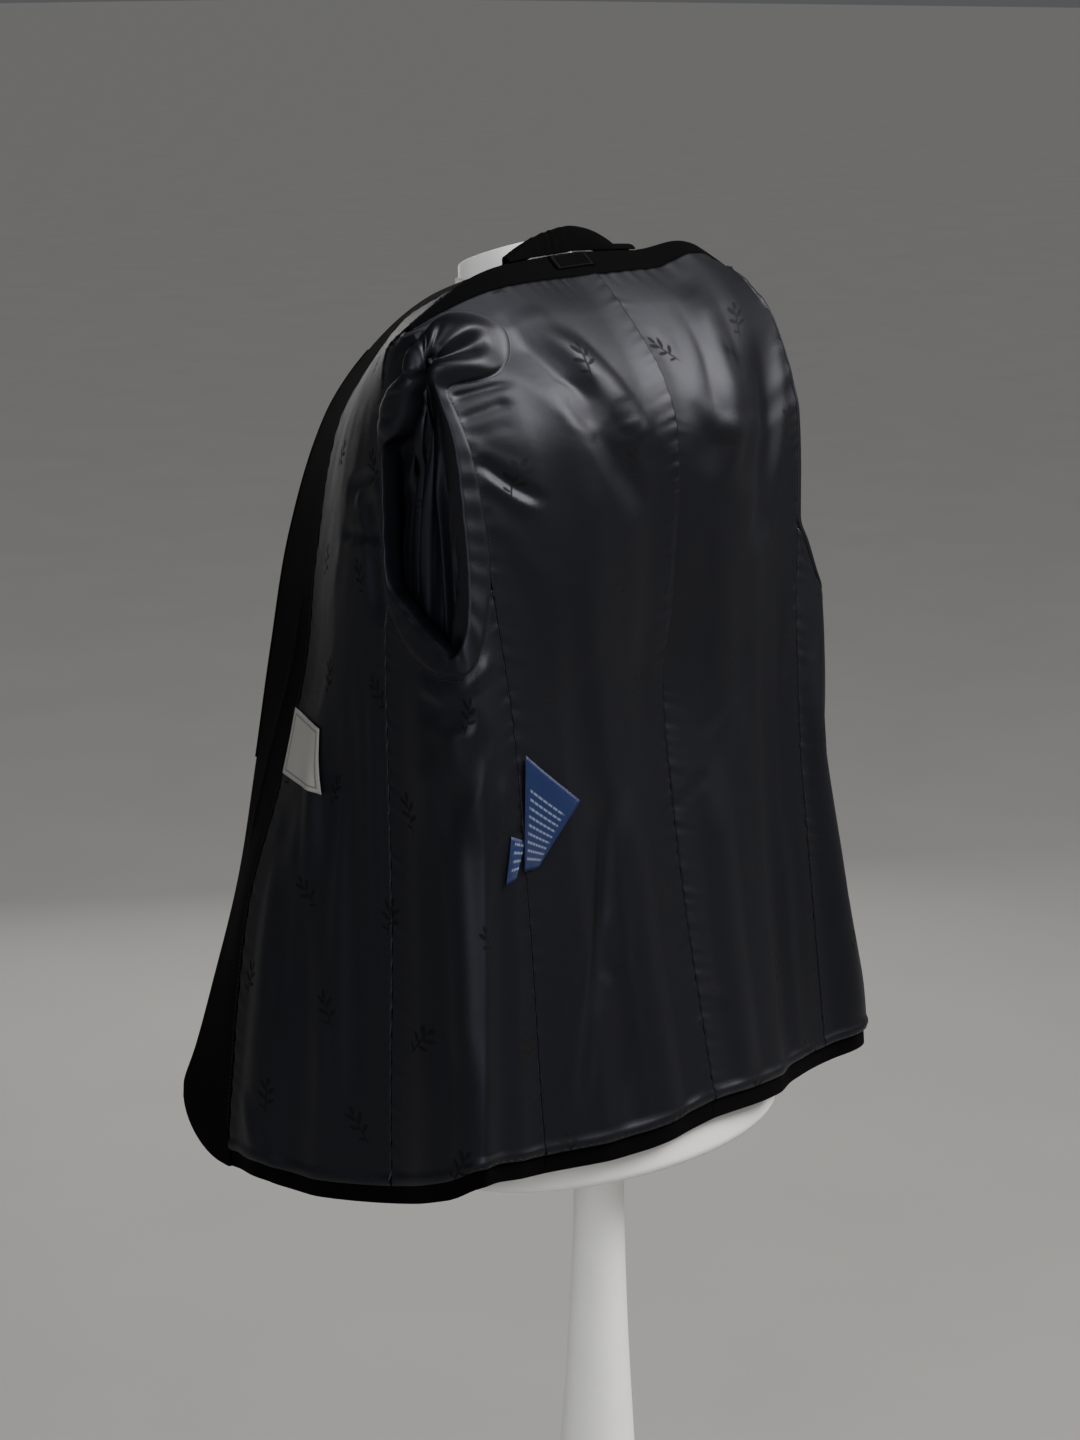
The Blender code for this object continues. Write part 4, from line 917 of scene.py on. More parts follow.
# The roll by its turn round the armhole (0 under the arm, then forwards and up): the girth
# and reach where its cloth starts on the lining, where its outer edge is tucked in, where
# its inner edge lies over the opening, and how high it stands, all in millimetres.
ARMHOLE_ROLL = (
    (0.000, 274, 429, 273, 433, 256, 447, 2.2), (0.025, 288, 435, 287, 438, 268, 456, 1.8),
    (0.050, 303, 441, 301, 445, 283, 464, 1.6), (0.075, 314, 450, 312, 454, 294, 470, 1.6),
    (0.100, 323, 463, 321, 466, 303, 477, 1.6), (0.125, 336, 474, 333, 477, 313, 485, 1.6),
    (0.150, 338, 490, 337, 490, 329, 493, 1.6), (0.200, 338, 522, 337, 522, 333, 522, 1.4),
    (0.320, 338, 598, 337, 598, 333, 598, 1.6), (0.338, 338, 609, 337, 609, 326, 608, 3.4),
    (0.350, 338, 618, 337, 619, 302, 615, 7), (0.375, 337, 637, 331, 641, 268, 646, 8),
    (0.400, 337, 657, 300, 666, 236, 668, 8.2), (0.425, 337, 683, 250, 694, 200, 686, 8),
    (0.450, 336, 712, 192, 728, 191, 690, 6.8), (0.475, 336, 750, 174, 743, 187, 696, 7),
    (0.490, 335, 771, 166, 753, 184, 700, 8.5), (0.500, 158, 762, 157, 760, 181, 703, 11.2),
    (0.510, 146, 760, 147, 758, 178, 704, 12), (0.520, 134, 745, 135, 744, 175, 703, 12.6),
    (0.530, 124, 727, 125, 726, 176, 701, 12.6), (0.540, 121, 708, 122, 708, 180, 697, 12.2),
    (0.550, 126, 688, 127, 688, 184, 692, 12.2), (0.560, 138, 671, 139, 672, 187, 688, 11.8),
    (0.568, 152, 666, 153, 667, 189, 683, 9), (0.576, 166, 667, 167, 667, 189, 678, 4.2),
    (0.586, 174, 662, 175, 663, 187, 668, 1.6), (0.600, 177, 652, 178, 653, 189, 655, 1),
    (0.640, 177, 627, 178, 627, 192, 628, 1.2), (0.700, 177, 589, 178, 589, 203, 590, 1.3),
    (0.750, 177, 558, 178, 558, 210, 560, 1.3), (0.800, 177, 527, 178, 527, 213, 532, 1.3),
    (0.850, 182, 496, 184, 497, 218, 507, 1.3), (0.900, 201, 463, 203, 466, 227, 484, 1.8),
    (0.950, 233, 433, 234, 437, 242, 459, 1.8), (1.000, 274, 429, 273, 433, 256, 447, 2.2),
)
ROLL_TABLE = np.array(ARMHOLE_ROLL) / (1, *[1000] * 7)
FAR_ROLL = (0.12, 0.08)  # the far side's roll is flatter: shares of its size and its height
# Places across the roll, on the lining and then over the puff, as shares of the way.
FOOT_SHARES = (0, 0.35, 0.7)
PUFF_SHARES = (0, 0.05, 0.12, 0.20, 0.30, 0.40, 0.50, 0.61, 0.72, 0.82, 0.91, 0.97, 1.0)
# The hollow behind the point of the hook, and short tucks across the roll: turn, half width
# in turns, and the share of the height that each takes off.
ROLL_HOLLOW = (0.540, 0.008, 0.85)
TUCKS = (
    (0.448, 0.0030, 0.12), (0.472, 0.0026, 0.25), (0.487, 0.0022, 0.40), (0.504, 0.0024, 0.35),
    (0.385, 0.0040, 0.20), (0.362, 0.0030, 0.35),
)
# Folds of the sleeve lining: turn and depth down it (0 armhole, 1 cuff) of one end, then of
# the other, half width in turns, and height off the sleeve's wall.
LINING_FOLDS = (
    (0.555, 0.010, 0.425, 0.190, 0.030, 0.0080), (0.500, 0.050, 0.470, 0.950, 0.058, 0.0085),
    (0.612, 0.080, 0.555, 0.400, 0.011, 0.0075), (0.725, 0.030, 0.715, 0.700, 0.058, 0.0080),
    (0.535, 0.100, 0.505, 0.500, 0.012, 0.0030), (0.455, 0.120, 0.450, 0.600, 0.010, 0.0030),
    (0.690, 0.050, 0.680, 0.500, 0.012, 0.0035), (0.745, 0.060, 0.740, 0.600, 0.011, 0.0030),
    (0.330, 0.200, 0.350, 0.800, 0.020, 0.0050), (0.180, 0.200, 0.200, 0.900, 0.022, 0.0050),
    (0.850, 0.150, 0.840, 0.900, 0.022, 0.0050),
)
FAR_FOLD_SHIFT = 0.03
# Points round the tube, rows from the mouth to the tube's level part, and rows below.
SATIN_ROWS, WOOL_ROWS = (270, 38, 40), (96, 12, 26)
SATIN_HALF, SATIN_GAP, WOOL_SLEEVE_WALL = 0.0005, 0.0021, 0.0018
HIGHEST_REACH = 0.777
# Turns where the roll swells and thins again, and where the hook's outer side rises gently.
SWELL_TURNS, GENTLE_TURNS = (0.32, 0.36, 0.58, 0.62), (0.45, 0.49, 0.550, 0.563)
# Cloth lengths that set the scale of the weave: round the armhole, over the roll, down.
ARMHOLE_LENGTH, ROLL_LENGTH, SATIN_LENGTH, WOOL_LENGTH = 0.6, 0.03, 0.75, 0.55


def run_lengths(points):
    """How far along the run each point lies."""
    steps = np.linalg.norm(np.diff(points, axis=0), axis=1)
    return np.concatenate([[0], np.cumsum(steps)])


def armhole_path(count):
    """(girth, reach) places round the armhole, evenly spaced, from under the arm forwards."""
    under_front = np.linspace(UNDERARM, FRONT_SEAM, 30)
    under_back = np.linspace(BACK_SEAM, UNDERARM, 40)
    top = REACHES[-1][1] - 0.001
    front = np.linspace(float(armhole_rule(np.array([FRONT_SEAM]))[0]), top, 80)[1:]
    back = np.linspace(top, float(armhole_rule(np.array([BACK_SEAM]))[0]), 80)[:-1]
    girth = np.concatenate([under_front, 0 * front + FRONT_SEAM, 0 * back + BACK_SEAM, under_back])
    reach = np.concatenate([armhole_rule(under_front), front, back, armhole_rule(under_back)])
    along = run_lengths(bare_surface(girth, reach))
    wanted = np.linspace(0, along[-1], count, endpoint=False)
    return np.interp(wanted, along, girth), np.interp(wanted, along, reach)


def rounded(values, passes):
    """The ring of values, evened out with its neighbours."""
    for _ in range(passes):
        values = (values + np.roll(values, 1, axis=0) + np.roll(values, -1, axis=0)) / 3
    return values


def sleeve_tube(girth, reach, hand, head_rows, tube_rows):
    """Rings of points from the armhole down to the cuff, [round, down, xyz], and outwards."""
    points, out = surface(girth * hand, reach)
    mouth = rounded(points + out * drape(girth * hand, reach)[:, None], 3)
    out = unit(rounded(out, 6))
    mouth = mouth + unit(mouth.mean(axis=0) - mouth) * MOUTH_INSET
    inwards = -out
    inwards[:, 1] *= np.clip((mouth[:, 2].max() - mouth[:, 2]) / HEAD_BEND, 0, 1)
    inwards = unit(inwards)
    deep = mouth + inwards * STRAIGHT_IN
    steps = np.linalg.norm(np.roll(mouth, -1, axis=0) - mouth, axis=1)
    turn = 2 * np.pi * np.concatenate([[0], np.cumsum(steps)[:-1]]) / steps.sum()
    levels = np.linspace(SLEEVE_SECTIONS[-1][0], SLEEVE_SECTIONS[0][0], tube_rows)
    table = np.array(SLEEVE_SECTIONS)
    x, y, half_x, half_y = (curve_weights(table[:, 0], levels) @ table[:, 1:]).T
    rings = np.zeros((len(girth), tube_rows, 3))
    rings[..., 0] = (x + half_x * np.cos(turn)[:, None]) * hand
    rings[..., 1] = y - half_y * np.sin(turn)[:, None]
    rings[..., 2] = RIM_HEIGHT + levels
    high = (mouth[:, 2] - mouth[:, 2].min()) / np.ptp(mouth[:, 2])
    turn_in = deep + inwards * (UNDERARM_INWARD + (HEAD_INWARD - UNDERARM_INWARD) * high)[:, None]
    first = rings[:, 0]
    lead = first + (mouth[:, 2] - first[:, 2])[:, None] * SLEEVE_LEAD * np.array([0, 0, 1.0])
    head = [mouth]
    for t in np.linspace(0, 1, head_rows, endpoint=False) ** 1.35:
        weights = ((1 - t) ** 3, 3 * t * (1 - t) ** 2, 3 * t**2 * (1 - t), t**3)
        head.append(sum(w * p for w, p in zip(weights, (deep, turn_in, lead, first))))
    tube = np.concatenate([np.stack(head, axis=1), rings], axis=1)
    return tube, ring_normals(tube)


def ring_normals(tube):
    """Directions square to a tube, away from its middle at its far end."""
    along = np.roll(tube, -1, axis=0) - np.roll(tube, 1, axis=0)
    normals = unit(np.cross(np.gradient(tube, axis=1), along))
    away = tube[:, -1] - tube[:, -1].mean(axis=0)
    return unit(rounded(normals * np.sign((normals[:, -1] * away).sum()), 2))


def declare_tube(grid, rests_on=()):
    """Works out the steps round the tube's rings, and keeps nothing."""
    around = np.roll(grid, -1, axis=0) - grid


def between_turns(turns, starts, full, fades, ends):
    """1 between two turns, 0 outside them, and smooth between."""
    return ramp(turns, starts, full) * ramp(turns, ends, fades)


def closer_at_roll(count):
    """Turns round the armhole, three times as close together where the roll swells."""
    fine = np.arange(2000) / 2000
    share = np.cumsum(1 + 2 * between_turns(fine, *SWELL_TURNS))
    return np.interp(np.arange(count) / count * share[-1], share - share[0], fine)


def between_lines(first, second, share, hand):
    """(across, reach) part of the way from one line of places round the armhole to another."""
    girth, reach = (a + (b - a) * share for a, b in zip(first, second))
    return girth * hand, reach


def above_cloth(across, reach, height):
    """A ring of points this high above the lining, evened out."""
    points, up = surface(across, np.minimum(reach, HIGHEST_REACH))
    stand = height + drape(across, reach)
    return rounded(points + unit(rounded(up, 6)) * stand[:, None], 2)


for side, hand in (("left", 1), ("right", -1)):
    count, head_rows, tube_rows = SATIN_ROWS
    turns = closer_at_roll(count)
    fine = np.arange(1000) / 1000
    girth, reach = (np.interp(turns, fine, values) for values in armhole_path(1000))
    tube, out = sleeve_tube(girth, reach, hand, head_rows, tube_rows)
    # the folds inside
    lengths = np.linalg.norm(np.diff(tube, axis=1), axis=2).mean(axis=0)
    depth = np.concatenate([[0], np.cumsum(lengths)])
    depth = depth / depth[-1]
    lift = np.zeros(tube.shape[:2])
    for turn_0, depth_0, turn_1, depth_1, half_width, height in LINING_FOLDS:
        share = (depth[None] - depth_0) / (depth_1 - depth_0)
        middle = turn_0 + (turn_1 - turn_0) * share + 0.004 * uneven(depth[None], 81, 0.2, 0.5)
        middle = middle + (FAR_FOLD_SHIFT if hand < 0 else 0)
        profile = np.clip(1 - np.abs((turns[:, None] - middle) / half_width) ** 3, 0, 1) ** 1.2
        lift += height * profile * ramp(share, -0.1, 0.2) * ramp(share, 1.1, 0.85)
    lift += 0.0010 * uneven(turns[:, None] + 0.1 * depth, 82, 0.02, 0.06) * ramp(depth, 0.0, 0.06)
    inside = tube - out * (SATIN_GAP + lift)[..., None]
    # the roll over the seam: a flat foot, then the puff, which rises gently at the hook
    size, tallness = FAR_ROLL if hand < 0 else (1, 1)
    lines = [np.interp(turns, ROLL_TABLE[:, 0], column) for column in ROLL_TABLE.T[1:]]
    seams = (girth, reach) * 3
    lines = [rounded(seam + (line - seam) * size, 2) for line, seam in zip(lines, seams)]
    start, tuck, edge = lines[0:2], lines[2:4], lines[4:6]
    height = rounded(np.interp(turns, ROLL_TABLE[:, 0], ROLL_TABLE[:, 7]), 3) * tallness
    puff = ramp(height, 0.003, 0.007)  # 0 where the roll is flat, 1 where it is puffed up
    gather = uneven(turns * ARMHOLE_LENGTH, 60 + hand, 0.008, 0.026)
    gather = 1 + (0.70 - 0.58 * puff) * gather
    roll = []
    for share in FOOT_SHARES:
        place = between_lines(start, tuck, share, hand)
        roll.append(above_cloth(*place, -0.0002 + 0.0015 * share / FOOT_SHARES[-1]))
    for share in PUFF_SHARES:
        place = between_lines(tuck, edge, share, hand)
        rise = np.sqrt(1 - abs(2 * share - 1) ** (5 - 3 * puff))
        gentle = between_turns(turns, *GENTLE_TURNS) * (share < 0.5)
        rise = rise + (float(ramp(share, 0, 0.42)) - rise) * gentle
        turn, half_width, taken = ROLL_HOLLOW
        near = np.exp(-(((turns - turn) / half_width) ** 2))
        rise = rise * (1 - taken * near * float(ramp(share, 0.22, 0.45)))
        for turn, half_width, taken in TUCKS:
            near = np.exp(-(((turns - turn - 0.004 * share) / half_width) ** 2))
            rise = rise * (1 - taken * near * float(ramp(share, 1.0, 0.6)))
        sunk = 0.0022 * float(ramp(share, 0.88, 1.0))
        roll.append(above_cloth(*place, 0.0010 + height * rise * gather - sunk))
    roll = np.stack(roll, axis=1)
    # the tube starts from the roll's inner edge and comes back to its own place lower down
    away_from_tube = roll[:, -1] - inside[:, 0]
    inside = inside + away_from_tube[:, None] * np.exp(-((depth / 0.16) ** 2))[None, :, None]
    sheet = np.concatenate([roll, inside[:, 1:]], axis=1)
    joint = roll.shape[1]
    for _ in range(2):  # evens out the rows where the roll meets the tube
        between = (sheet[:, :-2] + sheet[:, 1:-1] + sheet[:, 2:]) / 3
        sheet[:, joint - 2 : joint + 4] = between[:, joint - 3 : joint + 3]
    wall = ring_normals(sheet) * SATIN_HALF
    down = np.concatenate([np.linspace(-ROLL_LENGTH, 0, joint), depth[1:] * SATIN_LENGTH])
    places = np.broadcast_arrays(turns[:, None] * ARMHOLE_LENGTH, down)
    thing = cloth_mesh("satin_sleeve_" + side, sheet + wall, sheet - wall, places, ring=True)
    belongs(thing, "satin_lining", "sleeve_lining_" + side, material=satin)
    declare_tube(sheet, ["wool_sleeve_" + side])

    count, head_rows, tube_rows = WOOL_ROWS
    tube, out = sleeve_tube(*armhole_path(count), hand, head_rows, tube_rows)
    tube, out = tube[:, 1:], out[:, 1:]
    around = np.arange(count)[:, None] / count * ARMHOLE_LENGTH
    down = np.linspace(0, WOOL_LENGTH, tube.shape[1])
    places = np.broadcast_arrays(around, down)
    outer = tube + out * WOOL_SLEEVE_WALL
    thing = cloth_mesh("wool_sleeve_" + side, outer, tube, places, ring=True)
    belongs(thing, "wool", "sleeve_" + side, material=wool)
    declare_tube(tube)


# --- collar and lapels --------------------------------------------------------------------------
# The collar's stand rises from the neck seam and its leaf folds over it towards the form,
# in two layers of wool. The lapels roll back along the front edges and lie inside the
# fronts. Both show only their folded edge from behind.

COLLAR_REACH, COLLAR_RUN_OUT = 0.078, (0.084, 0.060)
STAND_HEIGHT, STAND_LOWEST, STAND_LEAN, COLLAR_WALL = 0.019, 0.003, 0.004, 0.0020
STAND_CLEAR = 0.0013  # above the neck facing
LEAF_DROP, LEAF_DROP_SHARE = 0.012, 0.2
PUCKER_MIDDLE, PUCKER_HALF, PUCKER_HEIGHT = 0.028, 0.030, 0.0007
ACROSS_STEPS, STAND_ROWS, LEAF_ROWS = 131, 14, 16


def collar_foot(across):
    """Points of the neck seam, just above the neck facing."""
    rise = np.where(across < 0, 1.0, 0.0) * SHOULDER_RISE
    crest = on_curve(CREST_LINE, np.abs(across))
    rise = rise * ramp(np.abs(across), RISE_STARTS[0], RISE_IS_FULL[0])
    rise = rise * ramp(crest, RISE_STARTS[1], RISE_IS_FULL[1])
    return np.stack([across, 0 * across + CREST_Y, crest + rise + RIM_HEIGHT + STAND_CLEAR], axis=1)


def open_sheet(name, middle, thickness, places):
    """A sheet of even thickness about a grid of points."""
    normal = unit(np.cross(np.gradient(middle, axis=1), np.gradient(middle, axis=0)))
    half = normal * thickness / 2
    return cloth_mesh(name, middle + half, middle - half, places)


across = np.linspace(-COLLAR_REACH, COLLAR_REACH, ACROSS_STEPS)
share = across / np.where(across > 0, COLLAR_RUN_OUT[0], COLLAR_RUN_OUT[1])
height = np.maximum(STAND_HEIGHT * (1 - share**2), STAND_LOWEST)
pucker = np.clip(1 - np.abs(across - PUCKER_MIDDLE) / PUCKER_HALF, 0, 1)
pucker = uneven(across, 90, 0.007, 0.020) * pucker
height = height + PUCKER_HEIGHT * pucker
foot = collar_foot(across)
stand = []
for q in np.linspace(0, 1, STAND_ROWS):
    swell = 0.0010 * math.sin(math.pi * q) - STAND_LEAN * q - COLLAR_WALL / 2
    lean = swell + 0.0006 * pucker * q * (1 - q) * 4
    stand.append(foot + np.stack([0 * across, 0 * across + lean, height * q], axis=1))
stand = np.stack(stand, axis=1)
places = np.broadcast_arrays(across[:, None], np.linspace(0, 0.03, STAND_ROWS))
thing = open_sheet("wool_collar_stand", stand, COLLAR_WALL * 0.85, places)
belongs(thing, "wool", "collar_stand", material=wool)
top = stand[:, -1]
drop = LEAF_DROP + height * LEAF_DROP_SHARE
leaf = []
for q in np.linspace(0, 1, LEAF_ROWS):
    curl = math.sqrt(1 - (1 - min(q / 0.18, 1)) ** 2)
    back = -0.0004 - (COLLAR_WALL + 0.0004) * curl
    sink = 0.0008 * curl * (1 - q) - drop * max(q - 0.05, 0) / 0.95
    leaf.append(top + np.stack([0 * across, 0 * across + back, sink], axis=1))
places = np.broadcast_arrays(across[:, None], np.linspace(0, 0.02, LEAF_ROWS))
thing = open_sheet("wool_collar_leaf", np.stack(leaf, axis=1), COLLAR_WALL * 0.85, places)
belongs(thing, "wool", "collar_leaf", material=wool)

LAPEL_LOW, LAPEL_HIGH, LAPEL_WIDTH, LAPEL_POINT = 0.305, 0.655, 0.078, 0.012
LAPEL_WALL, LAPEL_DEPTH = 0.0018, 0.0059
LAPEL_TURN = (  # how far beyond the edge and above it, round the fold
    (0.0008, 0.0008), (0.0016, -0.0002), (0.0020, -0.0020), (0.0019, -0.0038), (0.0010, -0.0052),
)
for side, hand in (("left", 1), ("right", -1)):
    up_edge = np.linspace(LAPEL_LOW, LAPEL_HIGH, 90)
    share = (up_edge - LAPEL_LOW) / (LAPEL_HIGH - LAPEL_LOW)
    width = LAPEL_POINT + (LAPEL_WIDTH - LAPEL_POINT) * share**0.8
    edge, out = surface(0 * up_edge + FRONT_EDGE * hand, up_edge)
    inside, _ = surface(0 * up_edge + (FRONT_EDGE - 0.004) * hand, up_edge)
    forward = unit(edge - inside)
    edge = edge + out * drape(0 * up_edge + FRONT_EDGE * hand, up_edge)[:, None]
    lapel, cloth_across = [], []
    for beyond, height in LAPEL_TURN:
        lapel.append(edge + forward * beyond + out * height)
        cloth_across.append(0 * up_edge + 0.004 - height)
    for q in np.linspace(0, 1, 18):
        at_across = (FRONT_EDGE - 0.002 - width * q) * hand
        points, normal = surface(at_across, up_edge)
        sway = 0.0006 * math.sin(math.pi * q) * uneven(up_edge, 95, 0.05, 0.12)
        height = drape(at_across, up_edge) - LAPEL_DEPTH - np.abs(sway)
        lapel.append(points + normal * height[:, None])
        cloth_across.append(0.010 + width * q)
    places = np.broadcast_arrays(np.stack(cloth_across), up_edge)
    thing = open_sheet("wool_lapel_" + side, np.stack(lapel), LAPEL_WALL, places)
    belongs(thing, "wool", "lapel_" + side, material=wool)
    "wool_front_" + side


# --- labels ----------------------------------------------------------------------------------
# A cream label stitched down by the left facing, a folded blue one caught in the seam
# behind the left armhole, and a dark one across the back of the neck. Their own words and
# marks are left off: the blue one keeps plain light lines, and the others a plain border.


def label_places(corners, columns, rows):
    """(across, reach) places over a four-cornered patch: low, low, high, high corners."""
    s, t = np.meshgrid(np.linspace(0, 1, columns), np.linspace(0, 1, rows), indexing="ij")
    a, b, c, d = (np.array(corner, float)[:, None, None] for corner in corners)
    return ((1 - s) * a + s * b) * (1 - t) + ((1 - s) * d + s * c) * t, (s, t)


def label_finish(name, ground, mark, roughness, shine, pattern):
    """A woven tape; pattern(s, t) gives where its marks lie, from 0 to 1."""
    material, tree, shader = new_finish(name, Roughness=roughness, Specular_IOR_Level=shine)
    split = node(tree, "ShaderNodeSeparateXYZ", node(tree, "ShaderNodeUVMap", uv_map="cloth"))
    s, t = split, Wire(split.socket.node.outputs[1])
    drive(shader, Base_Color=mixed(tree, pattern(s, t), ground, mark))
    ribs = (t * 520.0).wave() * 0.5 + (s * 700.0).wave() * 0.5
    drive(shader, Normal=bumped(tree, ribs, 0.0002, 0.3))
    return material


def border(s, t):
    """A thin line just inside the label's edge."""
    from_side = 0.5 - (s - 0.5).math("ABSOLUTE")
    from_end = 0.5 - (t - 0.5).math("ABSOLUTE")
    near = from_side.math("MINIMUM", from_end)
    return near.above(0.055, 0.070) * near.above(0.100, 0.085)


def printed_lines(s, t):
    """Rows of broken light lines, as small print looks from afar."""
    rows = t * 13.0
    line = rows.fraction().above(0.30, 0.42) * rows.fraction().above(0.74, 0.62)
    words = ((s * 9.0 + rows.whole() * 0.37).fraction() - 0.5).math("ABSOLUTE").above(0.44, 0.38)
    inset = s.above(0.10, 0.14) * s.above(0.90, 0.84) * t.above(0.06, 0.10) * t.above(0.80, 0.76)
    return line * words * inset * 0.40


# The tape's two colours, its roughness and its shine.
cream = label_finish(
    "cream_label_finish", (0.30, 0.29, 0.26), (0.16, 0.155, 0.14), 0.7, 0.2, border
)
blue = label_finish(
    "blue_label_finish", (0.006, 0.014, 0.060), (0.30, 0.34, 0.42), 0.40, 0.3, printed_lines
)
dark = label_finish(
    "dark_label_finish", (0.0012, 0.0012, 0.0016), (0.010, 0.010, 0.011), 0.85, 0.04, border
)

# Name, node, slot, finish, height above the cloth, corners, and how far each corner lifts.
FLAT = (0.0, 0.0, 0.0, 0.0)
CREAM_CORNERS = ((0.528, 0.310), (0.432, 0.309), (0.455, 0.361), (0.533, 0.366))
LABELS = (
    ("cream_label", "inside_label", "cream_label", cream, 0.0024, CREAM_CORNERS, FLAT),
    ("blue_care_label", "care_label", "blue_label", blue, 0.0026,
     ((0.184, 0.276), (0.170, 0.278), (0.126, 0.326), (0.172, 0.368)),
     (0.0005, 0.0030, 0.0080, 0.0010)),
    ("dark_neck_label", "neck_label", "dark_label", dark, 0.0019,
     ((-0.013, 0.7625), (0.041, 0.7625), (0.041, 0.7770), (-0.013, 0.7770)), FLAT),
)
TAPE_WALL = (-0.0002, 0.0004)
for name, cad_node, slot, finish, height, corners, lifts in LABELS:
    (across, reach), (s, t) = label_places(corners, 34, 30)
    points, out = surface(across, reach)
    a, b, c, d = lifts
    curl = ((1 - s) * a + s * b) * (1 - t) + ((1 - s) * d + s * c) * t
    relief = np.maximum(drape(across, reach), rounded(drape(across, reach), 8))
    relief = relief + satin_ease(across, reach)
    edge = np.minimum(np.minimum(s, 1 - s), np.minimum(t, 1 - t))
    height = height + 0.0003 * np.clip(edge / 0.08, 0, 1) + curl
    points = points + out * (relief + height)[..., None]
    inner, outer = (points + out * height for height in TAPE_WALL)
    thing = cloth_mesh(name, outer, inner, (s, t))
    belongs(thing, slot, cad_node, material=finish)

UNDER_CORNERS = ((0.206, 0.268), (0.196, 0.272), (0.178, 0.300), (0.196, 0.306))
(across, reach), (s, t) = label_places(UNDER_CORNERS, 14, 14)
points, out = surface(across, reach)
points = points + out * (drape(across, reach) + 0.0016 + 0.002 * (1 - t))[..., None]
inner, outer = (points + out * height for height in (-0.0002, 0.0003))
thing = cloth_mesh("blue_care_label_under", outer, inner, (s * 0.4, t * 0.4))
belongs(thing, "blue_label", material=blue)


# --- buttons ---------------------------------------------------------------------------------
# Two dark four-holed buttons with a dished face and a rounded rim, on the wool side of the
# left front, which is now turned towards the form. They are sewn on with crossed threads.

BUTTON_GIRTH = 0.5965
BUTTON_MIDDLE, HOLE_FROM_CENTRE, THREAD_RADIUS = 0.0015, 0.0017, 0.00035
BUTTON_PROFILE = (
    (0.0002, 0.0060), (0.0000, 0.0078), (0.0003, 0.0090), (0.0009, 0.0098), (0.0017, 0.0099),
    (0.0025, 0.0096), (0.0030, 0.0088), (0.0030, 0.0078), (0.0023, 0.0068), (0.0021, 0.0050),
    (0.0021, 0.0004),
)
horn, tree, shader = new_finish("horn_finish", Roughness=0.34, Coat_Weight=0.3, Coat_Roughness=0.2)
HORN_COLOURS = ((0.010, 0.009, 0.008), (0.030, 0.026, 0.021))
drive(shader, Base_Color=mixed(tree, noisy(tree, 260.0, 5.0).above(0.4, 0.7), *HORN_COLOURS))
drive(shader, Normal=bumped(tree, noisy(tree, 900.0), 0.0002, 0.2))
sewing, tree, shader = new_finish("thread_finish", Roughness=0.7, Sheen_Weight=0.1)
THREAD_COLOURS = ((0.004, 0.004, 0.005), (0.010, 0.010, 0.012))
drive(shader, Base_Color=mixed(tree, noisy(tree, 1500.0), *THREAD_COLOURS))


def round_bar(start, end, radius, bow):
    """Rings along a short thread from start to end, bowed up by bow (a vector)."""
    share = np.linspace(0, 1, 9)[:, None]
    middle = start + (end - start) * share + bow * np.sin(np.pi * share)
    side = unit(np.cross(end - start, bow))
    lift = unit(bow)
    turn = np.linspace(0, 2 * np.pi, 8, endpoint=False)[None, :, None]
    return middle[:, None] + radius * (np.cos(turn) * side + np.sin(turn) * lift)


for name in ("button_upper", "button_lower"):
    low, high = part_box(name)
    centre = (np.array(low) + np.array(high)) / 2
    _, out = surface(np.array([BUTTON_GIRTH]), np.array([centre[2] - RIM_HEIGHT]))
    out = unit(out[0])
    face = -out
    side = unit(np.cross(face, (0, 0, 1.0)))
    up = np.cross(side, face)
    turn = np.linspace(0, 2 * np.pi, 64, endpoint=False)[:, None]
    round_face = side * np.cos(turn) + up * np.sin(turn)
    rings = [centre + face * (depth - BUTTON_MIDDLE) + radius * round_face
             for depth, radius in BUTTON_PROFILE]
    belongs(closed_rings("horn_" + name, rings), "horn_button", name, material=horn)
    for thread_number, (a, b) in enumerate((((-1, -1), (1, 1)), ((-1, 1), (1, -1)))):
        start, end = (
            centre + face * 0.0006 + HOLE_FROM_CENTRE * (side * x + up * y) for x, y in (a, b)
        )
        bar = round_bar(start, end, THREAD_RADIUS, face * (0.0006 + 0.0005 * thread_number))
        thread = closed_rings(f"thread_{name}_{thread_number + 1}", bar)
        belongs(thread, "wool", material=sewing)


# --- stitches --------------------------------------------------------------------------------
# Small hand and machine stitches hold the lining: along its seams, round the armholes, in
# the hem and round the cream label. Each is one short bowed thread.


def stitch_line(across, reach, height):
    """Points this high above the cloth along a seam, and the directions outwards there."""
    points, out = surface(across, reach)
    return points + out * (drape(across, reach) + height)[:, None], out


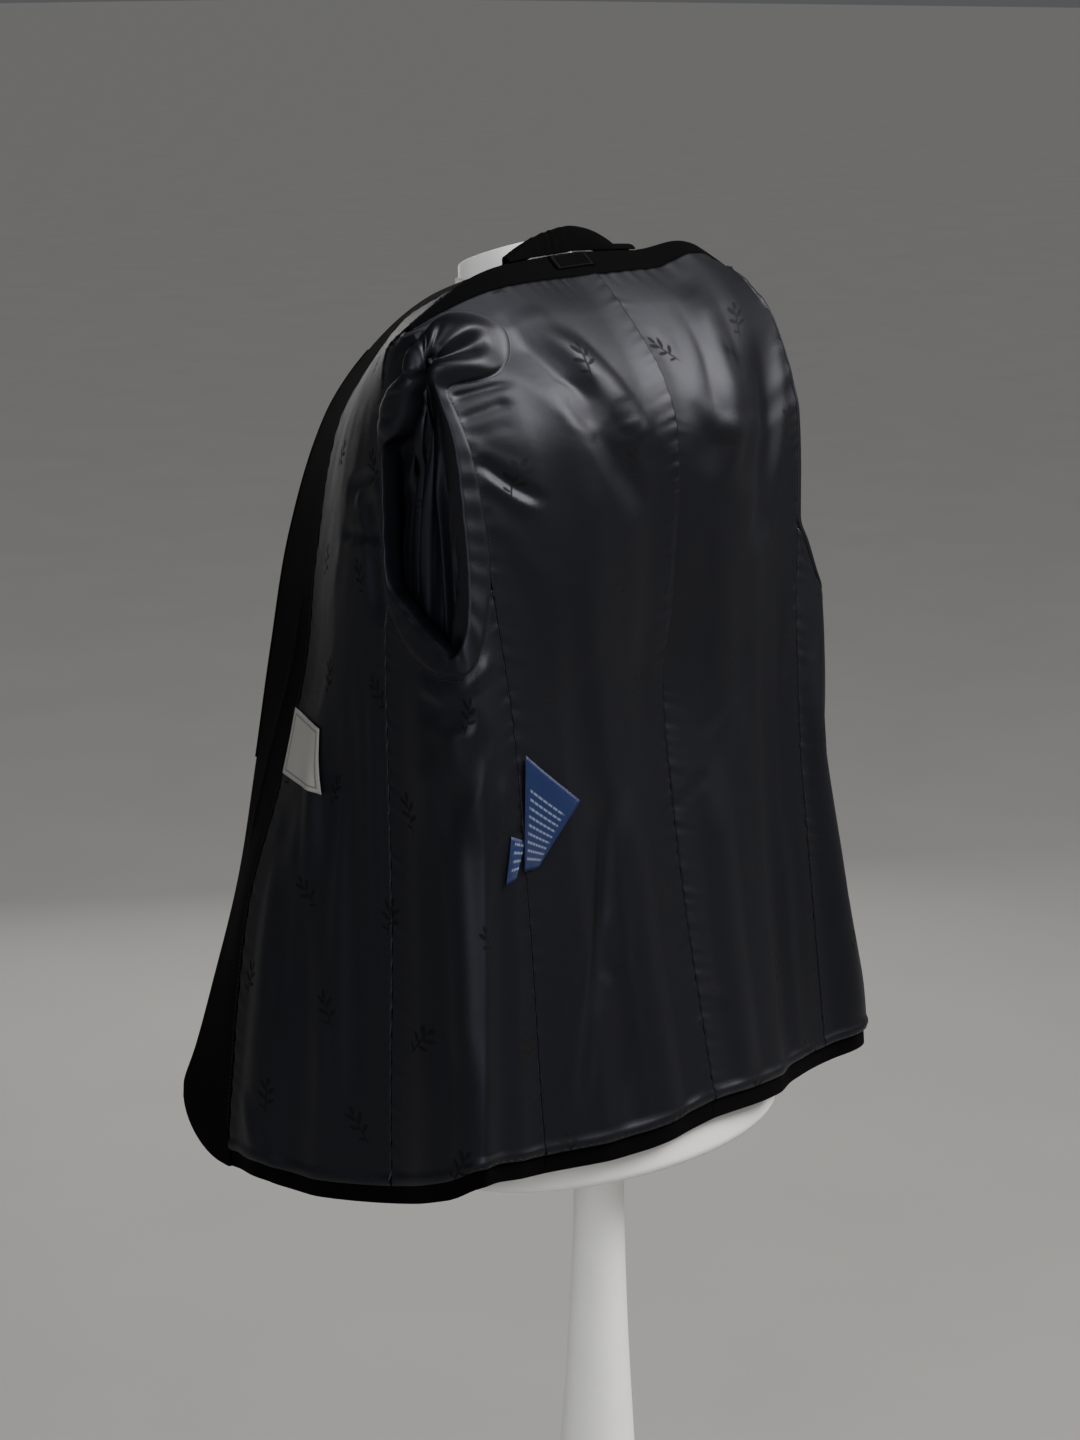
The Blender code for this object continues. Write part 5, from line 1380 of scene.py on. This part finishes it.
def stitched(name, lines, length, spacing, radius, material):
    """One mesh of stitches along lines of points, made by a node modifier and applied."""
    points, turns = [], []
    for line, out in lines:
        along = run_lengths(line)
        wanted = np.arange(spacing / 2, along[-1], spacing)
        at, ahead, behind, normal = (
            np.stack([np.interp(wanted + shift, along, column) for column in values.T], axis=1)
            for shift, values in ((0, line), (0.001, line), (-0.001, line), (0, out))
        )
        points.append(at)
        turns.append(np.concatenate([unit(ahead - behind), unit(normal)], axis=1))
    points, turns = (np.concatenate(rows).astype(np.float32) for rows in (points, turns))
    data = bpy.data.meshes.new(name + "_points")
    data.vertices.add(len(points))
    data.vertices.foreach_set("co", points.ravel())
    for key, values in (("along", turns[:, :3]), ("outward", turns[:, 3:])):
        attribute = data.attributes.new(key, "FLOAT_VECTOR", "POINT")
        attribute.data.foreach_set("vector", values.ravel())
    maker = bpy.data.objects.new(name + "_points", data)
    bpy.context.scene.collection.objects.link(maker)
    tree = bpy.data.node_groups.new(name + "_nodes", "GeometryNodeTree")
    tree.interface.new_socket("Geometry", in_out="INPUT", socket_type="NodeSocketGeometry")
    sizes = {}
    for label, value in (("Stitch length", length), ("Thread radius", radius)):
        made = tree.interface.new_socket(label, in_out="INPUT", socket_type="NodeSocketFloat")
        sizes[made.identifier] = value
    tree.interface.new_socket("Geometry", in_out="OUTPUT", socket_type="NodeSocketGeometry")
    group_in = tree.nodes.new("NodeGroupInput")
    group_out = tree.nodes.new("NodeGroupOutput")
    span, thick = (Wire(group_in.outputs[label]) for label in ("Stitch length", "Thread radius"))
    grain = node(tree, "GeometryNodeMeshUVSphere", 6, 4, 0.5)
    into = {2: 0.85, 3: 1.15, 8: 7}  # least, most and seed
    uneven_size = node(tree, "FunctionNodeRandomValue", data_type="FLOAT", into=into, out=1)
    scale = node(tree, "ShaderNodeCombineXYZ", thick * 2.0, thick * 1.6, span * uneven_size)
    along, outward = (
        node(tree, "GeometryNodeInputNamedAttribute", key, data_type="FLOAT_VECTOR")
        for key in ("along", "outward")
    )
    turn = node(tree, "FunctionNodeAlignRotationToVector", into={"Vector": along}, axis="Z")
    into = {"Rotation": turn, "Vector": outward}
    turn = node(tree, "FunctionNodeAlignRotationToVector", into=into, axis="Y", pivot_axis="Z")
    spots = Wire(group_in.outputs["Geometry"])
    into = {"Points": spots, "Instance": grain, "Rotation": turn, "Scale": scale}
    placed = node(tree, "GeometryNodeInstanceOnPoints", into=into)
    real = node(tree, "GeometryNodeRealizeInstances", placed)
    painted = node(tree, "GeometryNodeSetMaterial", into={"Geometry": real, "Material": material})
    tree.links.new(painted.socket, group_out.inputs[0])
    modifier = maker.modifiers.new("stitches", "NODES")
    modifier.node_group = tree
    for identifier, value in sizes.items():
        modifier[identifier] = value
    bpy.context.view_layer.update()
    graph = bpy.context.evaluated_depsgraph_get()
    baked = bpy.data.meshes.new_from_object(maker.evaluated_get(graph), depsgraph=graph)
    maker.modifiers.remove(modifier)
    bpy.data.objects.remove(maker)
    baked.shade_smooth()
    thing = bpy.data.objects.new(name, baked)
    bpy.context.scene.collection.objects.link(thing)
    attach(thing, "root")


# Each set of stitches: its lines, then the stitches' length, spacing and radius.
lining_lines = []
for hand in (1, -1):
    for girth in (BACK_SEAM + 0.0016, FRONT_SEAM + 0.0016):
        low = float(hem_rule(HEM_BAND + 0.004)(np.array([girth]))[0])
        high = float(armhole_rule(np.array([girth]))[0]) - 0.012
        reach = np.linspace(low, high, 160)
        lining_lines.append(stitch_line(0 * reach + girth * hand, reach, 0.0014))
    level = np.linspace(0.0, 0.716, 260)
    reach = reach_of(level)
    seam = on_curve(FACING_SEAM, level)
    lining_lines.append(stitch_line((seam + 0.0026) * hand, reach, 0.0016))
stitched("seam_stitches", lining_lines, 0.0022, 0.0042, 0.00022, sewing)

hem_lines = []
for hand in (1, -1):
    girth = np.linspace(0.004, FACING - 0.004, 400)
    reach = hem_reach(girth) + HEM_BAND + 0.0022
    hem_lines.append(stitch_line(girth * hand, reach, 0.0030))
stitched("hem_stitches", hem_lines, 0.0026, 0.0075, 0.00024, sewing)

armhole_lines = []
around = np.concatenate([np.linspace(0.60, 1.0, 200), np.linspace(0.0, 0.33, 160)])
girth, reach = (np.interp(around, ROLL_TABLE[:, 0], ROLL_TABLE[:, k]) for k in (1, 2))
girth = girth + np.sign(girth - 0.255) * 0.0015  # just outside the roll, before and behind
for hand in (1, -1):
    armhole_lines.append(stitch_line(girth * hand, reach, 0.0014))
stitched("armhole_stitches", armhole_lines, 0.0019, 0.0034, 0.00022, sewing)

pale_thread, tree, shader = new_finish("pale_thread_finish", Roughness=0.65)
drive(shader, Base_Color=mixed(tree, noisy(tree, 1500.0), (0.30, 0.29, 0.25), (0.40, 0.39, 0.34)))
(across, reach), _ = label_places(CREAM_CORNERS, 60, 60)
INSET = 2
middle = slice(INSET, -INSET)
edge_runs = ((INSET, middle), (-1 - INSET, middle), (middle, INSET), (middle, -1 - INSET))
label_lines = [stitch_line(across[a, b], reach[a, b], 0.0031) for a, b in edge_runs]
stitched("label_stitches", label_lines, 0.0018, 0.0030, 0.00022, pale_thread)
